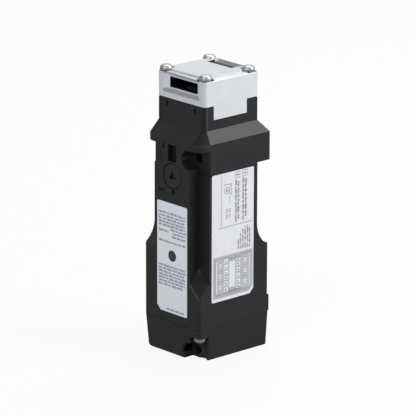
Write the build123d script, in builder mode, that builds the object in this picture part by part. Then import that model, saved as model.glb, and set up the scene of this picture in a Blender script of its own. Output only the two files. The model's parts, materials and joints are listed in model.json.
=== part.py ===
from build123d import *
import os
from math import cos, radians, sin

# A slim tongue interlock switch with a solenoid lock. Sizes are in millimetres.
# The origin is the middle of the bottom. +X is to the right along the front,
# +Y is to the mounting panel behind, and +Z is up.

# Outside sizes. The body's width, depth and waist height come from what it holds.
body_corner = 1.1
neck_side = 30.0
neck_corner = 1.65
collar_front_corner = 5.6

# Heights of the stretches, from the bottom up
cover_height = 14.5
base_height = 31.5
collar_height = 12.45
collar_slope = 5.4
neck_height = 9.9
head_gasket_thickness = 0.5
head_height = 11.3
plateau_height = 0.9

# Clearances
label_gap = 0.1
seat_gap = 0.2
rest_gap = 0.3
running_gap = 0.06
past = 1.0

# Corner channels that clear the mounting screws
channel_width = 6.65
front_channel_depth = 5.6
back_channel_depth = 7.05
flare_height = 9.8
back_ledge = 2.0
long_channel_foot = 12.7
long_channel_ramp = 6.4
back_relief = 1.0
back_relief_foot = 8.0
back_groove_height = 1.0
back_groove_depth = 0.6

# Mounting holes, along Y
mount_radius = 2.15
mount_pitch = 20.0
upper_mount_rise = 5.25
lower_mount_z = 3.2
mount_pocket_radius = 4.2
pocket_extra_depth = 0.55
pocket_skirt = 7.0
notch_height = 10.4

# Walls and hollows of the main housing
wall = 2.0
roof_below_mounts = 5.3
strip_cavity_drop = 14.7
back_cavity_depth = 6.6
well_wall = 2.6

# Head with its tongue entries
head_edge_round = 1.0
plateau_inset_x = 2.9
plateau_inset_y = 2.3
screw_inset = 2.7
screw_recess_radius = 3.6
screw_recess_depth = 0.4
front_funnel_width = 22.8
front_funnel_height = 8.9
front_funnel_depth = 1.65
front_slot_width = 17.3
front_slot_height = 4.6
front_slot_rise = 6.7
top_slot_width = 15.4
top_slot_depth = 4.5
top_slot_inset = 3.8
ramp_width = 16.2
ramp_drop = 1.5
ramp_rise = 0.4
leg_inset_front = 5.1
leg_inset_back = 6.1
leg_length = 6.1
leg_thickness = 5.3
leg_gap = 0.15

# Cam, which the tongue turns, and the rod that it lets rise
shaft_radius = 2.0
shaft_drop = 2.6
shaft_inset = 2.2
cam_radius = 11.0
cam_disc_width = 7.6
cam_hub_radius = 4.4
cam_hub_gap = 0.4
cam_sweep = 50.0
cam_dwell = 24.0
cam_lead = 8.0
cam_rim_steps = 5
cam_notch_width = 4.6
cam_notch_depth = 4.4
front_notch_angle = 34.0
top_notch_angle = 62.0
cam_room = 1.4
cam_clear = 0.9
cam_outside = 4.0
rod_travel = 3.0
rod_radius = 3.0
rod_neck_radius = 2.0
rod_shoulder_radius = 4.2
rod_shoulder_thickness = 1.5
rod_shoulder_gap = 0.5
rod_foot_thickness = 3.0
rod_foot_radius = 2.6
guide_length = 5.0

# Rod seal
seal_radius = 5.0
seal_height = 2.4

# Springs
spring_wire_sides = 8
rod_spring_radius = 3.5
rod_spring_wire = 0.5
rod_spring_turns = 3.5
armature_spring_radius = 3.0
armature_spring_wire = 0.4
armature_spring_turns = 3.0

# Lock slide, ring and mechanism plate
plate_thickness = 2.4
plate_drop = 1.7
plate_inset = 6.0
lock_gap = 0.4
slide_thickness = 1.2
lock_travel = 2.5
ring_radius = 4.4
slide_tip_gap = 0.5
slide_length = 9.4
slide_pin_radius = 0.8
slide_pin_inset = 5.6
slide_pin_drop = 5.4
cheek_gap = 0.4
cheek_thickness = 1.5
cheek_width = 3.6
cheek_tail = 2.0
pin_slack = 0.25
lug_arm_width = 1.6
lug_thickness = 1.5
lug_depth = 1.4
lug_drop = 3.9
lug_rise = 1.1

# Manual unlock disc, along Y
unlock_drop = 3.65
unlock_disc_radius = 5.3
unlock_disc_gap = 0.4
unlock_disc_thickness = 2.4
unlock_shaft_radius = 3.2
unlock_shaft_gap = 0.08
unlock_set_back = 0.15
crank_gap = 0.5
crank_orbit = 3.4
crank_pin_radius = 0.8
crank_thickness = 1.5
crank_pin_length = 1.9
crank_hub_radius = 2.6
crank_arm_radius = 1.4
crank_bore_radius = 1.5
key_socket_depth = 1.2
key_socket_radius = 2.6
key_socket_turn = 90
o_ring_radius = 0.6
o_ring_squeeze = 0.02

# Window and marks on the front strip and the neck
window_width = 5.2
window_height = 7.2
window_depth = 2.5
window_rise = 6.35
neck_mark_inset = 6.3
neck_mark_width = 0.9
neck_mark_depth = 1.2
neck_mark_drop = 0.9
neck_mark_height = 2.2
arrow_inset = 5.35
arrow_rise = 8.55
arrow_width = 1.9
arrow_height = 2.6
arrow_depth = 0.6
right_angle = 90

# Solenoid, upright, and the room for the mechanism between it and the housing's roof
solenoid_width = 18.0
solenoid_depth = 14.0
solenoid_height = 35.7
mechanism_height = 20.2
frame_plate = 1.6
armature_radius = 3.6
armature_gap = 2.8
armature_stem_radius = 2.0
armature_head = 3.5
bobbin_wall = 0.8
bobbin_flange = 1.2
winding_inset = 0.4
core_height = 8.0

# Terminal block at the bottom of the housing
terminal_lift = 1.5
terminal_height = 10.5
terminal_head_radius = 2.4
terminal_head_height = 1.6
terminal_shank_radius = 1.4
terminal_shank_length = 6.0
terminal_pitch = 7.0
terminal_row = 6.0
terminals_in_row = 4
terminal_rib = 1.2
terminal_rib_drop = 1.4

# Yoke on the armature
yoke_thickness = 1.5
yoke_web = 2.0
yoke_web_reach = 2.2
yoke_arm_width = 2.6
yoke_foot = 2.2
yoke_base_radius = 3.2

# Switch blocks
switch_width = 11.0
switch_depth = 10.4
switch_drop = 4.5
switch_gap_x = 1.4
switch_gap_y = 1.5
switch_gap_front = 0.85
switch_wall = 1.6
switch_plunger_radius = 1.4
switch_roof = 4.0
lock_plunger_rise = 5.3
plunger_tail = 3.0
bridge_rise = 3.4
bridge_margin = 2.1
bridge_width = 2.4
bridge_thickness = 0.8
contact_thickness = 0.8

# Indicator behind the front label
indicator_drop = 2.2
lens_radius = 2.4
lens_flange_radius = 3.2
lens_flange = 0.6
lamp_radius = 1.5
lamp_length = 2.0
board_thickness = 1.4
board_drop = 3.9
board_below = 10.0

# Labels
label_thickness = 0.3
label_corner = 0.7
label_cut = 2.2
front_label_margin = 1.35
front_label_foot = 3.8
front_label_drop = 15.75
side_label_margin_front = 1.3
side_label_margin_back = 2.05
side_label_foot = 10.8
side_label_drop = 1.25

# Bottom cover
cover_wall = 2.4
cover_floor = 2.2
cover_taper = 0.7
cover_foot_round = 0.5
cover_foot_corner = 1.8
cover_left_round = 4.0
port_inset = 12.5
port_from_back = 18.0
port_radius = 9.25
port_boss_radius = 11.3
port_length = 8.0
gasket_inset = 0.7
gasket_width = 0.9
gasket_depth = 0.8
mount_casing = 3.7
post_half = 3.6

# Screws
head_screw_radius = 2.7
head_screw_height = 2.6
head_screw_length = 18.0
screw_shank_radius = 1.45
screw_hole_radius = 1.6
cover_screw_inset_x = 3.7
cover_screw_inset_y = 3.6
cover_screw_radius = 2.65
cover_screw_height = 2.0
cover_screw_length = 11.0
head_round = 0.5

# Width and depth, from the inside out: the solenoid beside the switch blocks, and those two in a row
cavity_width = 2 * rest_gap + solenoid_width + switch_gap_x + switch_width
cavity_depth = switch_gap_front + 2 * switch_depth + switch_gap_y + seat_gap
body_width = cavity_width + 2 * wall
body_depth = front_channel_depth + back_channel_depth + cavity_depth + 2 * wall
side_x = body_width / 2
front_y = -body_depth / 2
back_y = body_depth / 2
neck_half = neck_side / 2

# Levels, from the bottom up through what the housing holds
cover_top = cover_height
base_top = cover_top + base_height
terminal_bottom = cover_top + terminal_lift
terminal_top = terminal_bottom + terminal_height
solenoid_bottom = terminal_top + rest_gap
solenoid_top = solenoid_bottom + solenoid_height
cavity_top = solenoid_top + mechanism_height
upper_mount_z = cavity_top + roof_below_mounts
collar_bottom = upper_mount_z - upper_mount_rise
collar_top = collar_bottom + collar_height
neck_bottom = collar_top + collar_slope
neck_top = neck_bottom + neck_height
head_bottom = neck_top + head_gasket_thickness
rim_top = head_bottom + head_height
plateau_top = rim_top + plateau_height

# Channels, pockets and hollows
strip_edge = side_x - channel_width
front_floor = front_y + front_channel_depth
back_floor = back_y - back_channel_depth
mount_x = mount_pitch / 2
pocket_floor = front_floor + pocket_extra_depth
cavity_x = side_x - wall
cavity_front = front_floor + wall
cavity_back = back_floor - wall
strip_cavity_x = strip_edge - wall
strip_cavity_front = front_y + wall
strip_cavity_top = cavity_top - strip_cavity_drop

# Head
plateau_x = neck_half - plateau_inset_x
plateau_front = plateau_inset_y - neck_half
screw_corner = neck_half - screw_inset
leg_front = -neck_half + leg_inset_front
leg_back = neck_half - leg_inset_back
leg_bottom = head_bottom - leg_length
leg_inner_x = neck_half - leg_thickness
front_slot_z = head_bottom + front_slot_rise
top_slot_end = neck_half - top_slot_inset
top_slot_start = top_slot_end - top_slot_depth

# Cam and rod
cam_z = head_bottom - shaft_drop
shaft_half = neck_half - shaft_inset
cam_well_floor = cam_z - cam_radius - cam_room
cam_well_x = leg_inner_x - seat_gap
cam_well_y = neck_half - well_wall
cam_hub_half = cam_well_x - cam_hub_gap
rod_top = cam_z - cam_radius - rest_gap
guide_bottom = cam_well_floor - guide_length
shoulder_top = guide_bottom - rod_travel - rod_shoulder_gap
shoulder_bottom = shoulder_top - rod_shoulder_thickness
rod_foot_bottom = solenoid_top + lock_gap

# Solenoid and yoke
solenoid_x = -cavity_x + rest_gap + solenoid_width / 2
solenoid_y = (cavity_front + cavity_back) / 2
bobbin_flange_radius = solenoid_width / 2 - frame_plate - rest_gap
armature_top = solenoid_top + armature_head
armature_bottom = solenoid_bottom + frame_plate + core_height + armature_gap
yoke_top = armature_top + yoke_thickness

# Lock slide
plate_front = cavity_front + plate_inset
plate_top = cavity_top - plate_drop
plate_bottom = plate_top - plate_thickness
slide_top = plate_bottom - lock_gap
slide_bottom = slide_top - slide_thickness
ring_top = slide_bottom - lock_gap
ring_bottom = ring_top - (rod_travel - slide_thickness - 2 * lock_gap)
slide_tip = -ring_radius - slide_tip_gap
slide_pin_x = slide_tip - slide_pin_inset
slide_pin_z = slide_bottom - slide_pin_drop
web_front = solenoid_y - yoke_web / 2
web_back = solenoid_y + yoke_web / 2
cheek_front = web_front - cheek_gap - cheek_thickness
cheek_back = web_back + cheek_gap + cheek_thickness

# Manual unlock
unlock_z = collar_bottom - unlock_drop
unlock_seat_y = front_y + unlock_set_back + unlock_disc_thickness
crank_front = cavity_front + crank_gap
crank_back = crank_front + crank_thickness
lug_face = -crank_orbit - crank_pin_radius - rest_gap
lug_front = crank_back + crank_pin_length + rest_gap
lug_back = lug_front + lug_depth
o_ring_y = (unlock_seat_y + cavity_front) / 2
o_ring_middle = unlock_shaft_radius + unlock_shaft_gap - o_ring_squeeze - o_ring_radius

# Switch blocks
switch_right = cavity_x - rest_gap
switch_x = switch_right - switch_width / 2
lock_switch_y = cavity_back - seat_gap - switch_depth / 2
door_switch_y = lock_switch_y - switch_depth - switch_gap_y
switch_bottom = terminal_top + rest_gap
switch_top = solenoid_top - switch_drop
bridge_z = (switch_bottom + switch_top) / 2 + bridge_rise
bridge_length = switch_depth - 2 * bridge_margin
yoke_arm_front = lock_switch_y - yoke_arm_width / 2
yoke_arm_back = lock_switch_y + yoke_arm_width / 2

# Front strip, labels and neck marks
window_z = collar_bottom + window_rise
arrow_z = collar_bottom + arrow_rise
arrow_x = -strip_edge + arrow_inset
neck_mark_x = neck_half - neck_mark_inset
indicator_z = base_top - indicator_drop
front_label_width = 2 * (strip_edge - front_label_margin)
front_label_bottom = cover_top + front_label_foot
front_label_top = collar_bottom - front_label_drop
side_label_front = front_floor + side_label_margin_front
side_label_back = back_floor - side_label_margin_back
side_label_width = side_label_back - side_label_front
side_label_y = (side_label_front + side_label_back) / 2
side_label_bottom = cover_top + side_label_foot
side_label_top = collar_bottom - side_label_drop

# Bottom cover
port_x = -side_x + port_inset
port_y = back_y - port_from_back
cover_screw_x = side_x - cover_screw_inset_x
cover_screw_y = front_y + cover_screw_inset_y


def at_y(y):
    """The upright plane that faces the front, at a given Y. Local x is X and local y is Z."""
    return Plane.XZ.offset(-y)


def block(x_span, y_span, z_span, mode=Mode.ADD):
    """A plain block between two X, two Y and two Z values."""
    middle = ((x_span[0] + x_span[1]) / 2, (y_span[0] + y_span[1]) / 2, (z_span[0] + z_span[1]) / 2)
    with Locations(middle):
        Box(x_span[1] - x_span[0], y_span[1] - y_span[0], z_span[1] - z_span[0], mode=mode)


def disc(x, y, radius, z_span, mode=Mode.ADD):
    """An upright cylinder between two Z values."""
    with BuildSketch(Plane.XY.offset(z_span[0])) as profile:
        with Locations((x, y)):
            Circle(radius)
    extrude(profile.sketch, amount=z_span[1] - z_span[0], mode=mode)


def bar(x, z, radius, y_span, mode=Mode.ADD):
    """A cylinder along Y between two Y values."""
    with BuildSketch(at_y(y_span[0])) as profile:
        with Locations((x, z)):
            Circle(radius)
    extrude(profile.sketch, amount=y_span[0] - y_span[1], mode=mode)


def outline(width, depth, front_corner, back_corner):
    """A rectangle with one corner radius at the front and another at the back."""
    Rectangle(width, depth)
    corners = BuildSketch._get_context().vertices()
    fillet(corners.group_by(Axis.Y)[0], front_corner)
    fillet(corners.group_by(Axis.Y)[-1], back_corner)


def cover_outline(width, depth, corner):
    """A rectangle with round corners. Its back edge stays in place where it is less deep than the body."""
    with Locations((0, (body_depth - depth) / 2)):
        RectangleRounded(width, depth, corner)


def foot_rounds(plane, width, reach, left_round, right_round):
    """Rounds two lower edges of the cover, by keeping what fits an outline with round lower corners."""
    with BuildSketch(plane) as profile:
        with Locations((0, cover_height / 2)):
            Rectangle(width, cover_height)
        fillet(profile.vertices().group_by(Axis.Y)[0].sort_by(Axis.X)[0], left_round)
        fillet(profile.vertices().group_by(Axis.Y)[0].sort_by(Axis.X)[-1], right_round)
    extrude(profile.sketch, amount=reach, mode=Mode.INTERSECT)


def short_channel(wall_y, floor_y, edge_y, x_span, top):
    """Cuts a corner channel along Z up to a level, with a curved flare at its foot."""
    outside = wall_y + past * (1 if wall_y > 0 else -1)
    with BuildSketch(Plane.YZ.offset(x_span[0])) as profile:
        with BuildLine():
            start = Line((floor_y, top), (floor_y, base_top + flare_height))
            TangentArc(start @ 1, (edge_y, base_top), tangent=(0, -1))
            Polyline((edge_y, base_top), (outside, base_top), (outside, top), (floor_y, top))
        make_face()
    extrude(profile.sketch, amount=x_span[1] - x_span[0], mode=Mode.SUBTRACT)


def label_outline(width, bottom, top, middle, cut_side, grow):
    """A label with small corners and one cut corner at the bottom, on the side that cut_side names."""
    with Locations((middle, (bottom + top) / 2)):
        Rectangle(width, top - bottom + 2 * grow)
    corners = BuildSketch._get_context().vertices()
    cut = corners.group_by(Axis.Y)[0].sort_by(Axis.X)[0 if cut_side < 0 else -1]
    fillet([corner for corner in corners if corner != cut], label_corner)
    chamfer(BuildSketch._get_context().vertices().sort_by_distance(cut)[0], label_cut)


def gasket_path(width, shift):
    """The ring that the cover gasket fills, all round the joint."""
    inset = gasket_inset - shift
    outline(body_width - 2 * inset, body_depth - 2 * inset, body_corner, body_corner)
    Rectangle(body_width - 2 * (inset + width), body_depth - 2 * (inset + width), mode=Mode.SUBTRACT)


def cam_point(angle, radius):
    """A point near the cam's rim, at an angle from straight down towards the back."""
    return (radius * sin(radians(angle)), cam_z - radius * cos(radians(angle)))


def tall_axis(seat, way):
    """The axis that a screw's head rises along."""
    return Axis(seat, (0, 0, way))


def pan_screw(seat, radius, height, length, way):
    """An upright pan head screw. Its head rises from the seat along +Z or -Z, as way says."""
    tall = Plane(origin=seat, x_dir=(1, 0, 0), z_dir=(0, 0, way))
    with BuildPart() as screw:
        with BuildSketch(tall):
            Circle(radius)
        extrude(amount=height)
        fillet(screw.faces().sort_by(tall_axis(seat, way))[-1].edges(), height * head_round)
        with BuildSketch(tall):
            Circle(screw_shank_radius)
        extrude(amount=-length)
    add(screw.part)


def coil(x, y, radius, wire, z_span, turns):
    """An upright coil spring that fits between two Z values."""
    height = z_span[1] - z_span[0] - 2 * wire - 2 * label_gap
    start = z_span[0] + wire + label_gap
    path = Helix(height / turns, height, radius, center=(x, y, start))
    with BuildSketch(Plane(origin=path @ 0, z_dir=path % 0)) as section:
        RegularPolygon(wire, spring_wire_sides)
    sweep(section.sketch, path=path)


def save(name, builder):
    """Names a finished piece and writes its file."""
    builder.part.label = name
    export_step(builder.part, "parts/" + name + ".step")


os.makedirs("parts", exist_ok=True)

# The long front channel ends in a facet that slopes out to the corner
ramp_normal = (long_channel_ramp / channel_width, -long_channel_ramp / front_channel_depth, 1)
long_channel_tip = (side_x, front_y, cover_top + long_channel_foot)
with BuildPart() as long_channel:
    block(
        (strip_edge, side_x + past),
        (front_y - past, front_floor),
        (cover_top + long_channel_foot - 2 * past, upper_mount_z),
    )
    split(bisect_by=Plane(origin=long_channel_tip, z_dir=ramp_normal), keep=Keep.TOP)

with BuildPart() as main_housing:
    with BuildSketch(Plane.XY.offset(cover_top)):
        outline(body_width, body_depth, body_corner, body_corner)
    extrude(amount=collar_bottom - cover_top)
    with BuildSketch(Plane.XY.offset(collar_bottom)):
        outline(body_width, body_depth, collar_front_corner, body_corner)
    extrude(amount=collar_height)
    with BuildSketch(Plane.XY.offset(collar_top)):
        outline(body_width, body_depth, collar_front_corner, body_corner)
    with BuildSketch(Plane.XY.offset(neck_bottom)):
        outline(neck_side, neck_side, neck_corner, neck_corner)
    loft(ruled=True)
    with BuildSketch(Plane.XY.offset(neck_bottom)):
        outline(neck_side, neck_side, neck_corner, neck_corner)
    extrude(amount=neck_height)

    # Channels, mounting pockets and mounting holes
    add(long_channel.part, mode=Mode.SUBTRACT)
    short_channel(front_y, front_floor, front_y, (-side_x - past, -strip_edge), upper_mount_z)
    for side in (-1, 1):
        span = sorted((side * strip_edge, side * (side_x + past)))
        short_channel(back_y, back_floor, back_y - back_ledge, span, collar_bottom)
        with BuildSketch(at_y(front_y - past)):
            with Locations((side * mount_x, upper_mount_z)):
                Circle(mount_pocket_radius)
            with Locations((side * (mount_x + side_x + past) / 2, upper_mount_z)):
                Rectangle(side_x + past - mount_x, 2 * mount_pocket_radius)
            with Locations((side * (strip_edge + side_x + past) / 2, upper_mount_z - pocket_skirt / 2)):
                Rectangle(side_x + past - strip_edge, pocket_skirt)
        extrude(amount=front_y - past - pocket_floor, mode=Mode.SUBTRACT)
        bar(side * mount_x, upper_mount_z, mount_radius, (pocket_floor - past, back_y + past), Mode.SUBTRACT)

    # Relief behind the waist and the groove over the cover joint
    for depth, foot, top in (
        (back_relief, back_relief_foot, collar_bottom),
        (back_groove_depth, 0, cover_top + back_groove_height),
    ):
        block((-side_x, side_x), (back_y - depth, back_y), (cover_top + foot, top), Mode.SUBTRACT)

    # Hollows for the mechanism, the wiring and the cam
    block((-cavity_x, cavity_x), (cavity_front, cavity_back), (cover_top, cavity_top), Mode.SUBTRACT)
    block(
        (-strip_cavity_x, strip_cavity_x),
        (strip_cavity_front, cavity_front),
        (cover_top, strip_cavity_top),
        Mode.SUBTRACT,
    )
    block(
        (-strip_cavity_x, strip_cavity_x),
        (cavity_back, cavity_back + back_cavity_depth),
        (cover_top, base_top),
        Mode.SUBTRACT,
    )
    disc(0, 0, rod_shoulder_radius + rest_gap, (cavity_top, guide_bottom), Mode.SUBTRACT)
    disc(0, 0, rod_radius + running_gap, (guide_bottom, cam_well_floor), Mode.SUBTRACT)
    disc(0, 0, seal_radius, (cam_well_floor - seal_height, cam_well_floor), Mode.SUBTRACT)
    block((-cam_well_x, cam_well_x), (-cam_well_y, cam_well_y), (cam_well_floor, neck_top), Mode.SUBTRACT)

    # Seats for the legs of the head, each with a lug that holds the shaft up
    for side in (-1, 1):
        seat = sorted((side * cam_well_x, side * (neck_half + past)))
        leg_room = (leg_front - leg_gap, leg_back + leg_gap)
        block(seat, leg_room, (leg_bottom - leg_gap, neck_top), Mode.SUBTRACT)
        lug = sorted((side * (leg_inner_x + seat_gap), side * (shaft_half - seat_gap)))
        lug_half = shaft_radius - leg_gap
        block(lug, (-lug_half, lug_half), (leg_bottom - leg_gap, cam_z - shaft_radius - label_gap))

    # Holes for the head screws, the cover screws and the marks on the neck
    with Locations(Plane.XY.offset(neck_top)):
        with GridLocations(2 * screw_corner, 2 * screw_corner, 2, 2):
            Hole(screw_shank_radius + running_gap, head_screw_length - head_height + screw_recess_depth)
    for side in (-1, 1):
        disc(
            side * cover_screw_x,
            side * cover_screw_y,
            screw_shank_radius + running_gap,
            (cover_top, notch_height + cover_screw_length + seat_gap),
            Mode.SUBTRACT,
        )
        mark = (side * neck_mark_x - neck_mark_width / 2, side * neck_mark_x + neck_mark_width / 2)
        mark_span = (neck_top - neck_mark_drop - neck_mark_height, neck_top - neck_mark_drop)
        block(mark, (-neck_half, -neck_half + neck_mark_depth), mark_span, Mode.SUBTRACT)

    # Front strip: window, marks, unlock disc seat, label recess and lens hole
    block(
        (-window_width / 2, window_width / 2),
        (front_y, front_y + window_depth),
        (window_z - window_height / 2, window_z + window_height / 2),
        Mode.SUBTRACT,
    )
    bar(0, unlock_z, unlock_disc_radius + unlock_disc_gap, (front_y, unlock_seat_y), Mode.SUBTRACT)
    bar(0, unlock_z, unlock_shaft_radius + unlock_shaft_gap, (unlock_seat_y, cavity_front), Mode.SUBTRACT)
    with BuildSketch(at_y(front_y)):
        with Locations((arrow_x, arrow_z)):
            Triangle(a=arrow_width, b=arrow_height, C=right_angle)
    extrude(amount=-arrow_depth, mode=Mode.SUBTRACT)
    with BuildSketch(at_y(front_y)):
        front_recess_width = front_label_width + 2 * label_gap
        label_outline(front_recess_width, front_label_bottom, front_label_top, 0, -1, label_gap)
    extrude(amount=-label_thickness, mode=Mode.SUBTRACT)
    bar(0, indicator_z, lens_radius + running_gap, (front_y, strip_cavity_front), Mode.SUBTRACT)

    # Recess for the side label
    with BuildSketch(Plane.YZ.offset(side_x)):
        side_recess_width = side_label_width + 2 * label_gap
        label_outline(side_recess_width, side_label_bottom, side_label_top, side_label_y, 1, label_gap)
    extrude(amount=-label_thickness, mode=Mode.SUBTRACT)

save("main_housing", main_housing)

# Bottom cover, with the cable port, the corner notch and the lower mounting hole
with BuildPart() as bottom_cover:
    with BuildSketch():
        cover_outline(body_width - 2 * cover_taper, body_depth - cover_taper, cover_foot_corner)
    with BuildSketch(Plane.XY.offset(cover_height)):
        cover_outline(body_width, body_depth, body_corner)
    loft(ruled=True)
    foot_rounds(at_y(front_y), body_width, -body_depth, cover_left_round, cover_foot_round)
    foot_rounds(Plane.YZ.offset(-side_x), body_depth, body_width, cover_foot_round, cover_foot_round)
    block(
        (-side_x + cover_wall, side_x - cover_wall),
        (front_y + cover_wall, back_y - cover_wall),
        (cover_floor, cover_height),
        Mode.SUBTRACT,
    )

    # Boss of the cable port, casing of the notch and of the mounting hole, and the rear screw's post
    disc(port_x, port_y, port_boss_radius, (cover_foot_round, port_length))
    block(
        (strip_edge - wall, side_x - cover_wall),
        (front_y + cover_wall, front_floor + wall),
        (cover_foot_round, cover_height),
    )
    block(
        (mount_x - mount_casing, mount_x + mount_casing),
        (front_y + cover_wall, back_y - cover_wall),
        (cover_foot_round, lower_mount_z + mount_casing),
    )
    block(
        (-side_x + cover_wall, -cover_screw_x + post_half),
        (-cover_screw_y - post_half, back_y - cover_wall),
        (cover_foot_round, cover_height),
    )
    disc(port_x, port_y, port_radius, (0, port_length), Mode.SUBTRACT)
    block((strip_edge, side_x), (front_y, front_floor), (0, notch_height), Mode.SUBTRACT)
    bar(mount_x, lower_mount_z, mount_pocket_radius, (front_y, front_floor), Mode.SUBTRACT)
    bar(mount_x, lower_mount_z, mount_radius, (front_floor, back_y), Mode.SUBTRACT)
    for side in (-1, 1):
        screw_at = (side * cover_screw_x, side * cover_screw_y)
        disc(*screw_at, cover_screw_radius + rest_gap, (0, notch_height), Mode.SUBTRACT)
        disc(*screw_at, screw_hole_radius, (notch_height, cover_height), Mode.SUBTRACT)
    with BuildSketch(Plane.XY.offset(cover_height)):
        gasket_path(gasket_width + label_gap, label_gap / 2)
    extrude(amount=-gasket_depth, mode=Mode.SUBTRACT)
save("bottom_cover", bottom_cover)

with BuildPart() as cover_gasket:
    with BuildSketch(Plane.XY.offset(cover_height)):
        gasket_path(gasket_width, 0)
    extrude(amount=-gasket_depth)
save("cover_gasket", cover_gasket)

with BuildPart() as cover_screws:
    for side in (-1, 1):
        pan_screw(
            (side * cover_screw_x, side * cover_screw_y, notch_height),
            cover_screw_radius,
            cover_screw_height,
            cover_screw_length,
            -1,
        )
save("cover_screws", cover_screws)

# Die-cast head: two tongue entries, a leg down each side, and a round well for the cam
with BuildPart() as head_housing:
    with BuildSketch(Plane.XY.offset(head_bottom)):
        outline(neck_side, neck_side, neck_corner, neck_corner)
    extrude(amount=head_height)
    fillet(faces().sort_by(Axis.Z)[-1].edges(), head_edge_round)
    with BuildSketch(Plane.XY.offset(rim_top - head_edge_round)):
        with Locations((0, (plateau_front + neck_half) / 2)):
            Rectangle(2 * plateau_x, neck_half - plateau_front)
        with GridLocations(2 * screw_corner, 2 * screw_corner, 2, 2):
            Circle(screw_recess_radius, mode=Mode.SUBTRACT)
    extrude(amount=head_edge_round + plateau_height)
    for side in (-1, 1):
        leg = sorted((side * leg_inner_x, side * neck_half))
        block(leg, (leg_front, leg_back), (leg_bottom, head_bottom + past))

    # Screw seats and screw holes in the corners
    with Locations(Plane.XY.offset(rim_top)):
        with GridLocations(2 * screw_corner, 2 * screw_corner, 2, 2):
            CounterBoreHole(screw_hole_radius, screw_recess_radius, screw_recess_depth, head_height + past)

    # Front funnel and slot
    with BuildSketch(at_y(-neck_half)):
        with Locations((0, front_slot_z)):
            Rectangle(front_funnel_width, front_funnel_height)
    with BuildSketch(at_y(-neck_half + front_funnel_depth)):
        with Locations((0, front_slot_z)):
            Rectangle(front_slot_width, front_slot_height)
    loft(ruled=True, mode=Mode.SUBTRACT)
    block(
        (-front_slot_width / 2, front_slot_width / 2),
        (-neck_half + front_funnel_depth, 0),
        (front_slot_z - front_slot_height / 2, front_slot_z + front_slot_height / 2),
        Mode.SUBTRACT,
    )

    # Top slot, with a ramp that rises from it to the back edge
    block(
        (-top_slot_width / 2, top_slot_width / 2),
        (top_slot_start, top_slot_end),
        (cam_z, plateau_top),
        Mode.SUBTRACT,
    )
    with BuildSketch(Plane.YZ.offset(-ramp_width / 2)):
        Polygon(
            (top_slot_end, plateau_top + past),
            (top_slot_end, plateau_top - ramp_drop),
            (neck_half, rim_top + ramp_rise),
            (neck_half, plateau_top + past),
            align=None,
        )
    extrude(amount=ramp_width, mode=Mode.SUBTRACT)

    # Cam well, shaft slots in the legs
    with BuildSketch(Plane.YZ.offset(-cam_well_x)):
        with Locations((0, cam_z)):
            Circle(cam_radius + cam_clear)
    extrude(amount=2 * cam_well_x, mode=Mode.SUBTRACT)
    for side in (-1, 1):
        slot = sorted((side * leg_inner_x, side * (shaft_half + seat_gap)))
        slot_half = shaft_radius + running_gap / 2
        block(slot, (-slot_half, slot_half), (leg_bottom, cam_z), Mode.SUBTRACT)
        with BuildSketch(Plane.YZ.offset(slot[0])):
            with Locations((0, cam_z)):
                Circle(slot_half)
        extrude(amount=slot[1] - slot[0], mode=Mode.SUBTRACT)
save("head_housing", head_housing)

with BuildPart() as head_gasket:
    with BuildSketch(Plane.XY.offset(neck_top)):
        outline(neck_side - 2 * seat_gap, neck_side - 2 * seat_gap, neck_corner, neck_corner)
        Rectangle(2 * cam_well_x, 2 * cam_well_y, mode=Mode.SUBTRACT)
        with Locations((0, (leg_front + leg_back) / 2)):
            Rectangle(body_width, leg_back - leg_front + 2 * leg_gap, mode=Mode.SUBTRACT)
        with GridLocations(2 * screw_corner, 2 * screw_corner, 2, 2):
            Circle(screw_hole_radius, mode=Mode.SUBTRACT)
    extrude(amount=head_gasket_thickness)
save("head_gasket", head_gasket)

with BuildPart() as head_screws:
    for x in (-screw_corner, screw_corner):
        for y in (-screw_corner, screw_corner):
            seat = (x, y, rim_top - screw_recess_depth)
            pan_screw(seat, head_screw_radius, head_screw_height, head_screw_length, 1)
save("head_screws", head_screws)

# Operating cam: a disc with two notches for the tongue, and a rim that falls away over the sweep
with BuildPart() as operating_cam:
    with BuildSketch(Plane.YZ.offset(-cam_disc_width / 2)):
        with Locations((0, cam_z)):
            Circle(cam_radius)
        with BuildLine():
            shares = [step / cam_rim_steps for step in range(cam_rim_steps + 1)]
            rim = Spline(*[cam_point(cam_sweep * share, cam_radius - rod_travel * share) for share in shares])
            low_radius = cam_radius - rod_travel
            dwell_end = cam_sweep + cam_dwell
            dwell = ThreePointArc(
                rim @ 1,
                cam_point(cam_sweep + cam_dwell / 2, low_radius),
                cam_point(dwell_end, low_radius),
            )
            Polyline(
                dwell @ 1,
                cam_point(dwell_end + cam_lead, cam_radius + past),
                cam_point((dwell_end + cam_lead) / 2, cam_radius + cam_outside),
                cam_point(0, cam_radius + past),
                rim @ 0,
            )
        make_face(mode=Mode.SUBTRACT)
        for angle in (right_angle + front_notch_angle, right_angle - top_notch_angle):
            with Locations(Location((0, cam_z, 0), (0, 0, angle))):
                with Locations((cam_radius - cam_notch_depth / 2 + past / 2, 0)):
                    Rectangle(cam_notch_depth + past, cam_notch_width, mode=Mode.SUBTRACT)
    extrude(amount=cam_disc_width)
    with BuildSketch(Plane.YZ.offset(-cam_hub_half)):
        with Locations((0, cam_z)):
            Circle(cam_hub_radius)
    extrude(amount=2 * cam_hub_half)
    with BuildSketch(Plane.YZ.offset(-cam_hub_half)):
        with Locations((0, cam_z)):
            Circle(shaft_radius + running_gap)
    extrude(amount=2 * cam_hub_half, mode=Mode.SUBTRACT)
save("operating_cam", operating_cam)

with BuildPart() as cam_shaft:
    with BuildSketch(Plane.YZ.offset(-shaft_half)):
        with Locations((0, cam_z)):
            Circle(shaft_radius)
    extrude(amount=2 * shaft_half)
    chamfer(edges().filter_by(GeomType.CIRCLE), rest_gap)
save("cam_shaft", cam_shaft)

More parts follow.
